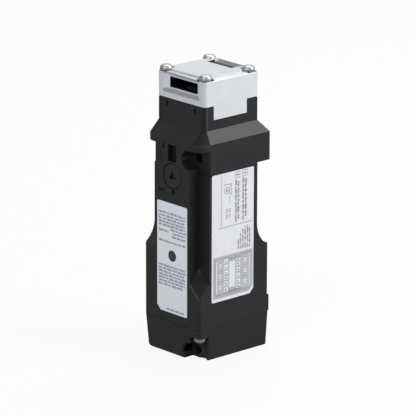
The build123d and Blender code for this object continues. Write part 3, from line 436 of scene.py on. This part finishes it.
def silver_head():
    """Silver paint over die-cast metal, with painted shade in the tongue entries, the funnel and the ramp,
    painted light on the funnel's sides and painted shadow in the screw pockets.
    """
    material, tree, shader, place = node_material(
        "head_metal", SILVER_PLAIN, metallic=SILVER_METALLIC, coat=SILVER_COAT
    )
    shader.inputs["Coat Roughness"].default_value = SILVER_COAT_ROUGHNESS
    slow = noise(tree, place, SILVER_PATCH, SLOW_DETAIL)
    fine = noise(tree, place, SILVER_GRAIN, FINE_DETAIL)
    tone = blend_colours(tree, spread(tree, slow, 0, 1), *SILVER_TONES)
    across = vector_step(tree, "ABSOLUTE", place)
    # Painted shade on the funnel's floor and roof and on the ramp, and painted light on the funnel's sides
    tone = layered(tree, tone, inside_box(tree, place, FUNNEL_FLOOR), FUNNEL_FLOOR_SHADE)
    tone = layered(tree, tone, inside_box(tree, place, FUNNEL_ROOF), FUNNEL_ROOF_SHADE)
    tone = layered(tree, tone, inside_box(tree, across, FUNNEL_SIDES), FUNNEL_SIDE_LIGHT)
    tone = layered(tree, tone, inside_box(tree, place, TOP_RAMP), RAMP_SHADE)
    # Painted shadow on the screw pockets' floors, and painted shade in the slots and at the ramp's foot
    pockets = screw_pockets(tree, place)
    tone = layered(tree, tone, pockets, POCKET_SHADOW)
    for entry in (FRONT_SLOT, TOP_SLOT, RAMP_FOOT):
        tone = layered(tree, tone, inside_box(tree, place, entry), SLOT_SHADE)
    tree.links.new(tone, shader.inputs["Base Color"])
    rough = two_way(tree, "MAXIMUM", spread(tree, fine, *SILVER_ROUGHNESS), pockets)
    tree.links.new(rough, shader.inputs["Roughness"])
    bump(tree, shader, fine, SILVER_RELIEF)
    return material


def black_plastic(name, dark, light, rough):
    """Black moulded plastic, rougher and with painted shade at the parting line, at some corners and in the
    channels, and with near-black painted shade in hollows.
    """
    material, tree, shader, place = node_material(name, rough[0])
    slow = noise(tree, place, PATCH * MM, SLOW_DETAIL)
    fine = noise(tree, place, BLACK_GRAIN, FINE_DETAIL)
    tone = blend_colours(tree, spread(tree, slow, 0, 1), dark, light)
    corners = vector_step(tree, "ABSOLUTE", place)
    fading = spread(tree, axes_of(tree, place)[2], 1, 0, (CHANNEL_SHADE_FULL, CHANNEL_CLEAR))
    channels = two_way(tree, "MULTIPLY", inside_box(tree, corners, CHANNELS), fading)
    holes = [inside_box(tree, corners, box) for box in (MOUNT_HOLES, POCKET_WALLS)]
    hollows = any_of(tree, [inside_box(tree, place, WINDOW), *holes])
    edges = [inside_box(tree, place, box) for box in (PARTING_LINE, *COLLAR_FACETS)]
    shade_and_matt = any_of(tree, [*edges, inside_box(tree, corners, NECK_EDGES), channels, hollows])
    # Painted shade at the parting line, the collar's facets, the neck's edges and the channels, and
    # near-black painted shade in the window and the mounting holes
    tone = layered(tree, tone, shade_and_matt, PAINTED_SHADE_TONE)
    tone = layered(tree, tone, hollows, HOLLOW_SHADE_TONE)
    tree.links.new(tone, shader.inputs["Base Color"])
    matt = spread(tree, shade_and_matt, 0, DULL_ROUGHNESS, (0, 1))
    tree.links.new(two_way(tree, "MAXIMUM", spread(tree, fine, *rough), matt), shader.inputs["Roughness"])
    bump(tree, shader, fine, BLACK_RELIEF)
    return material


def wound_copper():
    """Enamelled wire wound in close turns round an upright spool."""
    material, tree, shader, place = node_material("winding_copper", COPPER_ROUGHNESS, COPPER_METALLIC)
    bands = tree.nodes.new("ShaderNodeTexWave")
    bands.bands_direction = "Z"
    # At a scale of 1 the bands of a wave node lie pi / 10 apart
    bands.inputs["Scale"].default_value = math.pi / (10 * COPPER_PITCH)
    bands.inputs["Distortion"].default_value = COPPER_WAVER
    tree.links.new(place, bands.inputs["Vector"])
    tone = blend_colours(tree, bands.outputs["Fac"], *COPPER_TONES)
    tree.links.new(tone, shader.inputs["Base Color"])
    bump(tree, shader, bands.outputs["Fac"], COPPER_RELIEF)
    return material


looks = {"head_metal": silver_head(), "winding_copper": wound_copper()}
for name, finish in BLACKS.items():
    looks[name] = black_plastic(name, *finish)
for name, finish in METALS.items():
    looks[name] = surfaced(name, *finish, metallic=1.0)
for name, finish in OTHERS.items():
    looks[name] = surfaced(name, *finish)

for subpart in frame["record"]["subparts"]:
    cad_node = nodes[subpart["node"]]
    cad_node.data.materials.clear()
    cad_node.data.materials.append(looks[subpart["material_slot"]])


# Pieces made in mesh code


def filled_mesh(name, maker):
    """A mesh that the maker draws, with its faces turned outward."""
    mesh = bpy.data.meshes.new(name)
    shape = bmesh.new()
    maker(shape)
    bmesh.ops.recalc_face_normals(shape, faces=shape.faces)
    shape.to_mesh(mesh)
    shape.free()
    return mesh


def placed(name, data):
    """A new object in the scene."""
    made = bpy.data.objects.new(name, data)
    bpy.context.scene.collection.objects.link(made)
    return made


def piece(name, body, material, maker):
    """A new piece in the shared frame that rides on a body."""
    mesh = filled_mesh(name, maker)
    mesh.materials.append(material)
    made = placed(name, mesh)
    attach(made, body)
    return made


def bevel(made, width, angle):
    """Rounds the edges where faces meet at more than the angle."""
    edge = made.modifiers.new("edge", "BEVEL")
    edge.width = width
    edge.segments = EDGE_SEGMENTS
    edge.limit_method = "ANGLE"
    edge.angle_limit = math.radians(angle)
    return edge


def smooth(made, angle):
    """Smooth shading, with an edge kept sharp where faces meet at more than the angle."""
    for face in made.data.polygons:
        face.use_smooth = True
    made.data.set_sharp_from_angle(angle=math.radians(angle))


def apply_modifiers(made):
    """Leaves the piece as the mesh that its modifiers give."""
    graph = bpy.context.evaluated_depsgraph_get()
    mesh = bpy.data.meshes.new_from_object(made.evaluated_get(graph))
    made.modifiers.clear()
    made.data = mesh


def lathe(shape, profile, place):
    """Turns a profile of (radius, height) points round the upright axis, closed at both ends."""
    rings = []
    for radius, height in profile:
        if radius == 0:
            rings.append([shape.verts.new(place @ Vector((0, 0, height)))])
            continue
        circle = []
        for step in range(LATHE_STEPS):
            turn = 2 * math.pi * step / LATHE_STEPS
            point = Vector((radius * math.cos(turn), radius * math.sin(turn), height))
            circle.append(shape.verts.new(place @ point))
        rings.append(circle)
    for low, high in zip(rings, rings[1:]):
        for step in range(LATHE_STEPS):
            after = (step + 1) % LATHE_STEPS
            corners = [low[step % len(low)], low[after % len(low)]]
            corners += [high[after % len(high)], high[step % len(high)]]
            shape.faces.new(list(dict.fromkeys(corners)))


# Screws


def screw_profile(length):
    """A threaded shank, a flat seat and a low domed head, from the tip up."""
    height = -length + THREAD_PITCH
    profile = [(0, -length), (THREAD_ROOT, height)]
    while height < -PLAIN_SHANK:
        profile.append((THREAD_OUTER, height + THREAD_PITCH / 2))
        profile.append((THREAD_ROOT, height + THREAD_PITCH))
        height += THREAD_PITCH
    profile.append((THREAD_ROOT, 0))
    profile.append((HEAD_RADIUS - HEAD_CHAMFER, 0))
    profile.append((HEAD_RADIUS, HEAD_CHAMFER))
    for step in range(DOME_STEPS + 1):
        turn = math.radians(90 * step / DOME_STEPS)
        reach = HEAD_RADIUS - DOME_REACH + DOME_REACH * math.cos(turn)
        profile.append((reach, HEAD_RIM + (HEAD_HEIGHT - HEAD_RIM - DOME_DROP) * math.sin(turn)))
    profile.append((CROWN_RADIUS, HEAD_HEIGHT - CROWN_DROP))
    profile.append((0, HEAD_HEIGHT))
    return profile


def cross_cutter(shape, place):
    """A tapered cross that cuts the driver recess."""
    outline = []
    for quarter in range(4):
        turn = Matrix.Rotation(math.pi / 2 * quarter, 3, "Z")
        for x, y in ((CROSS_WIDTH, CROSS_WIDTH), (CROSS_WIDTH, CROSS_REACH), (-CROSS_WIDTH, CROSS_REACH)):
            outline.append(turn @ Vector((x, y, 0)))
    outline = sorted(outline, key=lambda point: math.atan2(point.y, point.x))
    top = HEAD_HEIGHT + CUTTER_RISE
    foot = HEAD_HEIGHT - CROSS_DEPTH
    high = [shape.verts.new(place @ Vector((p.x, p.y, top))) for p in outline]
    low = [shape.verts.new(place @ Vector((p.x * CROSS_TAPER, p.y * CROSS_TAPER, foot))) for p in outline]
    shape.faces.new(high)
    shape.faces.new(low)
    for step in range(len(outline)):
        after = (step + 1) % len(outline)
        shape.faces.new((high[step], high[after], low[after], low[step]))


def screw(name, node, seat, way, length, turn):
    """A pan head screw with a cross recess, that stands for one of a node's screws."""
    flip = Matrix.Rotation(math.pi, 4, "X") if way < 0 else Matrix.Identity(4)
    place = Matrix.Translation(seat) @ Matrix.Rotation(math.radians(turn), 4, "Z") @ flip
    profile = screw_profile(length)
    made = piece(name, "housing", looks["screw_steel"], lambda s: lathe(s, profile, place))
    cutter = placed("cutter", filled_mesh("cutter", lambda s: cross_cutter(s, place)))
    cut = made.modifiers.new("cut", "BOOLEAN")
    cut.object = cutter
    cut.operation = "DIFFERENCE"
    cut.solver = "EXACT"
    bevel(made, SCREW_EDGE_WIDTH, SCREW_EDGE_ANGLE)
    bpy.context.view_layer.update()
    apply_modifiers(made)
    bpy.data.objects.remove(cutter)
    smooth(made, SCREW_SHARP)
    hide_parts(node)


def solids_of(name):
    """The lowest and highest corner of each separate solid in a CAD node's mesh."""
    shape = bmesh.new()
    shape.from_mesh(nodes[name].data)
    bmesh.ops.remove_doubles(shape, verts=shape.verts, dist=SEAM)
    left = set(shape.verts)
    boxes = []
    while left:
        group = set()
        waiting = [left.pop()]
        while waiting:
            vertex = waiting.pop()
            group.add(vertex)
            for link in vertex.link_edges:
                other = link.other_vert(vertex)
                if other in left:
                    left.remove(other)
                    waiting.append(other)
        points = [v.co for v in group]
        low = Vector(min(p[i] for p in points) for i in range(3))
        high = Vector(max(p[i] for p in points) for i in range(3))
        boxes.append((low, high))
    shape.free()
    return sorted(boxes, key=lambda box: (box[0].x, box[0].y))


spins = random.Random(4)
for number, (low, high) in enumerate(solids_of("head_screws"), 1):
    seat = Vector(((low.x + high.x) / 2, (low.y + high.y) / 2, high.z - HEAD_HEIGHT))
    screw(f"head_screw_{number}", "head_screws", seat, 1, seat.z - low.z, spins.uniform(0, 90))
for number, (low, high) in enumerate(solids_of("cover_screws"), 1):
    seat = Vector(((low.x + high.x) / 2, (low.y + high.y) / 2, low.z + COVER_SEAT))
    screw(f"cover_screw_{number}", "cover_screws", seat, -1, high.z - seat.z, spins.uniform(0, 90))


# Coil springs in place of the CAD springs


def coil(shape, low, high, wire, turns):
    """A round wire wound upward between two corners, closed at both ends."""
    middle = (low + high) / 2
    radius = (high.x - low.x) / 2 - wire
    rise = high.z - low.z - 2 * wire
    steps = round(turns * COIL_STEPS)
    rings = []
    for step in range(steps + 1):
        turn = 2 * math.pi * turns * step / steps
        outward = Vector((math.cos(turn), math.sin(turn), 0))
        centre = Vector((middle.x, middle.y, low.z + wire + rise * step / steps)) + outward * radius
        angles = [2 * math.pi * corner / WIRE_STEPS for corner in range(WIRE_STEPS)]
        points = [centre + wire * (outward * math.cos(a) + Vector((0, 0, math.sin(a)))) for a in angles]
        rings.append([shape.verts.new(point) for point in points])
    for first, second in zip(rings, rings[1:]):
        for corner in range(WIRE_STEPS):
            after = (corner + 1) % WIRE_STEPS
            shape.faces.new((first[corner], first[after], second[after], second[corner]))
    shape.faces.new(rings[0])
    shape.faces.new(rings[-1])


def coil_spring(name, node, wire, turns):
    """A spring that stands for a node's spring."""
    low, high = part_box(node)
    mesh = filled_mesh(name, lambda s: coil(s, low, high, wire, turns))
    mesh.materials.append(looks["spring_steel"])
    made = placed(name, mesh)
    smooth(made, COIL_SHARP)
    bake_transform(made)
    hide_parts(node)


coil_spring("rod_coil", "rod_spring", 0.5 * MM, 3.5)
coil_spring("armature_coil", "armature_spring", 0.4 * MM, 3.0)


# Lens of the indicator


def lens_profile(depth, flange):
    """A domed front, a straight barrel and a flange behind, from the front back."""
    profile = [(0, 0)]
    for step in range(1, LENS_DOME_STEPS + 1):
        turn = LENS_DOME_ANGLE * step / LENS_DOME_STEPS
        reach = LENS_RADIUS * LENS_DOME_SHARE * math.sin(turn) / math.sin(LENS_DOME_ANGLE)
        profile.append((reach, -LENS_DOME_FALL * (1 - math.cos(turn))))
    back = -depth - LENS_FLANGE_DEPTH
    profile += [(LENS_RADIUS, -LENS_SHOULDER), (LENS_RADIUS, -depth)]
    profile += [(flange, -depth), (flange, back), (0, back)]
    return profile


def lens_dome():
    """The lens with its low dome, in place of the CAD node's flat one."""
    low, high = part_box("indicator_lens")
    centre = Vector(((low.x + high.x) / 2, low.y, (low.z + high.z) / 2))
    place = Matrix.Translation(centre) @ Matrix.Rotation(math.pi / 2, 4, "X")
    profile = lens_profile(high.y - low.y - LENS_FLANGE_DEPTH, (high.x - low.x) / 2)
    look = looks["lens_green"]
    made = piece("lens_dome", "housing", look, lambda s: lathe(s, profile, place))
    smooth(made, LENS_SHARP)
    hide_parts("indicator_lens")


lens_dome()


# Print: rows of short strokes that form no letters, rules, rings and boxes, all in millimetres
INK_LIFT = 0.012 * MM
WORD_WIDTHS = (1.2, 3.2)
WORD_GAPS = (0.3, 0.5)
STROKE_WIDTHS = (0.26, 0.44)
STROKE_RISES = (0.62, 1.0)
STROKE_GAP = 0.13
LEAST_STROKE = 0.1

# Rows of the front label above and below the lens: level, left end, right end
FRONT_ROWS = (
    (61.8, -8.4, 8.2),
    (60.4, -8.4, 7.8),
    (59.0, -8.4, 8.3),
    (57.6, -8.4, 8.0),
    (56.2, -8.4, 8.2),
    (54.8, -1.0, 8.3),
    (53.7, -8.4, -2.4),
    (53.4, 0.4, 8.2),
    (51.8, 0.0, 8.3),
    (49.2, -8.4, 8.2),
    (38.3, -8.4, 8.2),
    (36.9, -8.4, 8.3),
    (35.5, -8.4, 8.0),
    (34.1, -8.4, 8.3),
    (32.7, -8.4, 8.1),
    (31.3, -8.4, 8.2),
    (29.9, -8.4, 6.4),
    (19.2, -3.6, 8.0),
)
FRONT_ROW_HEIGHT = 1.05

# Upright rows of the side label: place across, lower end, upper end
LONG_ROWS = ((0.1, 59.0, 77.6), (1.5, 60.0, 76.6), (4.3, 59.0, 77.8), (5.7, 60.4, 77.0))
LONG_ROW_HEIGHT = 1.25
SHORT_ROWS = (
    (1.7, 46.4, 51.0),
    (3.0, 46.4, 53.2),
    (4.3, 46.4, 54.8),
    (5.6, 46.4, 56.0),
    (6.9, 46.4, 56.4),
    (8.2, 46.4, 55.0),
)
SHORT_ROW_HEIGHT = 1.0

# Plan of the terminals on the side label
PANEL_CORNERS = ((-12.3, 26.7), (8.3, 26.7), (10.4, 29.1), (10.4, 45.2), (-12.3, 45.2))
PLAN_ROWS = (29.2, 31.7, 34.2, 36.7, 39.2, 41.7)
PLAN_RINGS = ((-8.3, 31.4), (-8.3, 36.2), (-8.3, 41.0), (6.2, 31.4), (6.2, 36.2), (6.2, 41.0))
PLAN_TICKS = (-3.4, -2.2, -1.0, 0.2, 1.4, 2.6)

# Painted pointer under the disc, and the dashes beside it
POINTER_GAP = 0.7
POINTER_HEIGHT = 2.7
POINTER_SIDES = (-0.4, 2.0)
DASH_COUNT = 5
DASH_START = -8.4
DASH_STEP = 0.85
DASH_WIDTH = 0.5
DASH_LEVELS = (71.4, 72.7)

front_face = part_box("front_label")[0].y
side_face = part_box("side_label")[1].x
housing_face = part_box("main_housing")[0].y


def front_point(x, z):
    """A point on the print of the front label."""
    return Vector((x * MM, front_face - INK_LIFT, z * MM))


def housing_point(x, z):
    """A point of a mark on the housing's front."""
    return Vector((x * MM, housing_face - INK_LIFT, z * MM))


def side_point(y, z):
    """A point on the print of the side label."""
    return Vector((side_face + INK_LIFT, y * MM, z * MM))


def plan_point(y, z):
    """A point just over the tinted ground."""
    return side_point(y, z) + Vector((INK_LIFT, 0, 0))


def cell_point(y, z):
    """A point just over the pale cells."""
    return plan_point(y, z) + Vector((INK_LIFT, 0, 0))


def inked(shape, point, corners):
    """A flat face of ink through its corners."""
    shape.faces.new([shape.verts.new(point(*corner)) for corner in corners])


def stroke(shape, point, low, high):
    """A filled rectangle between two corners."""
    inked(shape, point, ((low[0], low[1]), (high[0], low[1]), (high[0], high[1]), (low[0], high[1])))


def frame_box(shape, point, low, high, line):
    """An outlined rectangle."""
    stroke(shape, point, low, (high[0], low[1] + line))
    stroke(shape, point, (low[0], high[1] - line), high)
    stroke(shape, point, (low[0], low[1] + line), (low[0] + line, high[1] - line))
    stroke(shape, point, (high[0] - line, low[1] + line), (high[0], high[1] - line))


def ring(shape, point, centre, outer, inner):
    """A ring, or a disc where inner is nothing."""
    for step in range(RING_STEPS):
        start = 2 * math.pi * step / RING_STEPS
        end = 2 * math.pi * (step + 1) / RING_STEPS
        corners = [(outer, start), (outer, end)]
        corners += [(inner, end), (inner, start)] if inner else [(0, start)]
        inked(shape, point, [(centre[0] + r * math.cos(t), centre[1] + r * math.sin(t)) for r, t in corners])


def row_of_strokes(shape, point, start, end, height, draw, upright=False):
    """A row of short strokes with gaps like those between words. An upright row climbs the second axis."""
    along = start[1] if upright else start[0]
    while along < end:
        reach = min(along + draw.uniform(*WORD_WIDTHS), end)
        while along < reach - LEAST_STROKE:
            width = draw.uniform(*STROKE_WIDTHS)
            rise = height * draw.uniform(*STROKE_RISES)
            if upright:
                stroke(shape, point, (start[0], along), (start[0] + rise, along + width))
            else:
                stroke(shape, point, (along, start[1]), (along + width, start[1] + rise))
            along += width + STROKE_GAP
        along += draw.uniform(*WORD_GAPS)


def front_print(shape):
    """The rows of the front label."""
    draw = random.Random(11)
    for z, left, right in FRONT_ROWS:
        row_of_strokes(shape, front_point, (left, z), right, FRONT_ROW_HEIGHT, draw)


def side_print(shape):
    """Upright rows, rules and small diagrams of the side label."""
    draw = random.Random(23)
    stroke(shape, side_point, (-9.4, 57.55), (9.9, 57.8))
    stroke(shape, side_point, (-7.7, 58.6), (-7.5, 81.0))
    for y, low, high in LONG_ROWS:
        row_of_strokes(shape, side_point, (y, low), high, LONG_ROW_HEIGHT, draw, True)
    # Two thin rules across the long rows
    for z in (65.2, 71.6):
        stroke(shape, side_point, (0.2, z), (6.9, z + 0.14))
    for y, low, high in SHORT_ROWS:
        row_of_strokes(shape, side_point, (y, low), high, SHORT_ROW_HEIGHT, draw, True)
    # A box with a small cross at the head of each pair of long rows
    for y in (0.0, 4.3):
        frame_box(shape, side_point, (y, 78.2), (y + 3.0, 81.0), 0.22)
        stroke(shape, side_point, (y + 0.5, 79.45), (y + 2.5, 79.75))
        stroke(shape, side_point, (y + 1.35, 78.8), (y + 1.65, 80.4))
    # A round dial in a corner of lines
    ring(shape, side_point, (-4.6, 73.6), 1.5, 1.22)
    ring(shape, side_point, (-4.6, 73.6), 0.5, 0)
    frame_box(shape, side_point, (-2.9, 71.6), (-1.9, 76.4), 0.2)
    stroke(shape, side_point, (-6.6, 76.2), (-3.2, 76.4))
    stroke(shape, side_point, (-3.1, 67.8), (-2.9, 71.0))
    # Two pairs of rings on a line
    for z in (61.6, 64.0):
        stroke(shape, side_point, (-5.8, z), (-2.2, z + 0.2))
        ring(shape, side_point, (-4.6, z + 1.1), 0.6, 0.38)
        ring(shape, side_point, (-3.0, z + 1.1), 0.6, 0.38)


def side_panel(shape):
    """The tinted ground of the terminal plan, with a cut corner as the label has."""
    inked(shape, side_point, PANEL_CORNERS)


def plan_cells(shape):
    """The pale cells of the terminal plan."""
    stroke(shape, plan_point, (-3.1, 30.4), (0.3, 41.8))
    for z in PLAN_ROWS:
        stroke(shape, plan_point, (-6.1, z), (-3.9, z + 1.7))
        stroke(shape, plan_point, (1.1, z), (3.3, z + 1.7))
    for centre in PLAN_RINGS:
        ring(shape, plan_point, centre, 1.7, 0)
    for y in (-10.6, 8.5):
        stroke(shape, plan_point, (y, 29.0), (y + 0.5, 43.2))


def plan_lines(shape):
    """The dark lines of the terminal plan."""
    draw = random.Random(5)
    frame_box(shape, plan_point, (-11.3, 28.0), (9.6, 44.3), 0.2)
    for y, z in PLAN_RINGS:
        ring(shape, cell_point, (y, z), 1.45, 1.1)
        stroke(shape, cell_point, (y - 0.8, z - 0.15), (y + 0.8, z + 0.15))
    for z in PLAN_ROWS:
        for y in (-5.6, 1.6):
            end = (y + draw.uniform(0.6, 1.2), z + draw.uniform(0.8, 1.2))
            stroke(shape, cell_point, (y, z + 0.45), end)
    for y in PLAN_TICKS:
        stroke(shape, cell_point, (y, 28.5), (y + 0.8, 28.5 + draw.uniform(0.6, 1.0)))
        stroke(shape, cell_point, (y, 42.7), (y + 0.8, 42.7 + draw.uniform(0.5, 0.9)))


def pointer(shape):
    """A small triangle that points down from the disc, and a few strokes beside it."""
    left, right = POINTER_SIDES
    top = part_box("unlock_disc")[0].z / MM - POINTER_GAP
    tip = ((left + right) / 2, top - POINTER_HEIGHT)
    inked(shape, housing_point, ((left, top), (right, top), tip))
    low, high = DASH_LEVELS
    for number in range(DASH_COUNT):
        start = DASH_START + DASH_STEP * number
        stroke(shape, housing_point, (start, low), (start + DASH_WIDTH, high))


piece("front_label_print", "housing", looks["ink_blue"], front_print)
piece("side_label_print", "housing", looks["ink_grey"], side_print)
piece("side_label_panel", "housing", looks["ink_panel"], side_panel)
piece("side_label_cells", "housing", looks["label_side"], plan_cells)
piece("side_label_lines", "housing", looks["ink_grey"], plan_lines)
piece("unlock_pointer", "housing", looks["mark_black"], pointer)


# Softened edges on the CAD nodes


def soften(name, width):
    """Joins the mesh along its seams and rounds its sharp edges a little."""
    weld = nodes[name].modifiers.new("weld", "WELD")
    weld.merge_threshold = SEAM
    edge = bevel(nodes[name], width, EDGE_ANGLE)
    edge.use_clamp_overlap = True
    edge.harden_normals = True


for name, width in EDGE_WIDTHS:
    soften(name, width)


# Floor, light and camera


def seen_strength(tree, plain, mirrored, seen):
    """One value for a ray that lights the part, one for a mirrored ray and one for a ray from the camera."""
    path = tree.nodes.new("ShaderNodeLightPath")
    strength = None
    kinds = (("Is Glossy Ray", mirrored), ("Is Transmission Ray", mirrored), ("Is Camera Ray", seen))
    for ray, value in kinds:
        step = tree.nodes.new("ShaderNodeMix")
        step.inputs[NUMBER_A].default_value = plain
        step.inputs[NUMBER_B].default_value = value
        tree.links.new(path.outputs[ray], step.inputs[0])
        if strength:
            tree.links.new(strength, step.inputs[NUMBER_A])
        strength = step.outputs[0]
    return strength


def floor():
    """A pale floor that keeps a soft shadow."""
    bpy.ops.mesh.primitive_plane_add(size=FLOOR_SIZE)
    ground = bpy.context.object
    ground.name = "floor"
    material, tree, shader, place = node_material("floor_white", FLOOR_ROUGHNESS)
    tone = blend_colours(tree, noise(tree, place, FLOOR_PATCH, FINE_DETAIL), *FLOOR_TONES)
    tree.links.new(tone, shader.inputs["Base Color"])
    share = seen_strength(tree, 0, 1, FLOOR_SEEN)
    glow = tree.nodes.new("ShaderNodeEmission")
    tree.links.new(seen_strength(tree, 0, FLOOR_MIRRORED, 1), glow.inputs["Strength"])
    mixed = tree.nodes.new("ShaderNodeMixShader")
    tree.links.new(share, mixed.inputs[0])
    tree.links.new(shader.outputs[0], mixed.inputs[1])
    tree.links.new(glow.outputs[0], mixed.inputs[2])
    tree.links.new(mixed.outputs[0], tree.nodes["Material Output"].inputs["Surface"])
    ground.data.materials.append(material)


def world():
    """White where the camera sees it, and softer in reflections and as a light."""
    sky = bpy.data.worlds.new("studio")
    bpy.context.scene.world = sky
    sky.use_nodes = True
    tree = sky.node_tree
    ground = tree.nodes["Background"]
    ground.inputs["Color"].default_value = (1, 1, 1, 1)
    tree.links.new(seen_strength(tree, SKY_LIGHT, SKY_MIRRORED, 1.0), ground.inputs["Strength"])


def direction(azimuth, elevation):
    """The way from the part to a camera or lamp."""
    level = math.cos(elevation)
    return Vector((math.sin(azimuth) * level, -math.cos(azimuth) * level, math.sin(elevation)))


def softbox(name, azimuth, elevation, distance, size, power):
    """A square soft light, aimed at the part's middle. Azimuth is measured as the camera's is."""
    lamp = bpy.data.lights.new(name, "AREA")
    lamp.shape = "SQUARE"
    lamp.size = size
    lamp.energy = power
    stand = placed(name, lamp)
    back = direction(math.radians(azimuth), math.radians(elevation))
    stand.location = Vector((0, 0, AIM_HEIGHT)) + back * distance
    stand.rotation_mode = "QUATERNION"
    stand.rotation_quaternion = back.to_track_quat("Z", "Y")


def camera():
    """The camera where the photograph was taken from."""
    back = direction(VIEW_AZIMUTH, VIEW_ELEVATION)
    level = Vector((math.cos(VIEW_AZIMUTH), math.sin(VIEW_AZIMUTH), 0))
    right = Matrix.Rotation(VIEW_ROLL, 3, back) @ level
    up = back.cross(right)
    data = bpy.data.cameras.new("camera")
    data.lens = LENS
    data.sensor_width = SENSOR_WIDTH
    data.clip_start = CLIP_NEAR
    data.clip_end = CLIP_FAR
    seen_from = placed("camera", data)
    aim = Vector((0, 0, AIM_HEIGHT)) + right * AIM_RIGHT + up * AIM_UP
    turn = Matrix((right, up, back)).transposed().to_4x4()
    seen_from.matrix_world = Matrix.Translation(aim + back * VIEW_DISTANCE) @ turn
    bpy.context.scene.camera = seen_from


floor()
world()
for lamp_settings in LAMPS:
    softbox(*lamp_settings)
camera()
bpy.context.scene.view_settings.view_transform = "Standard"
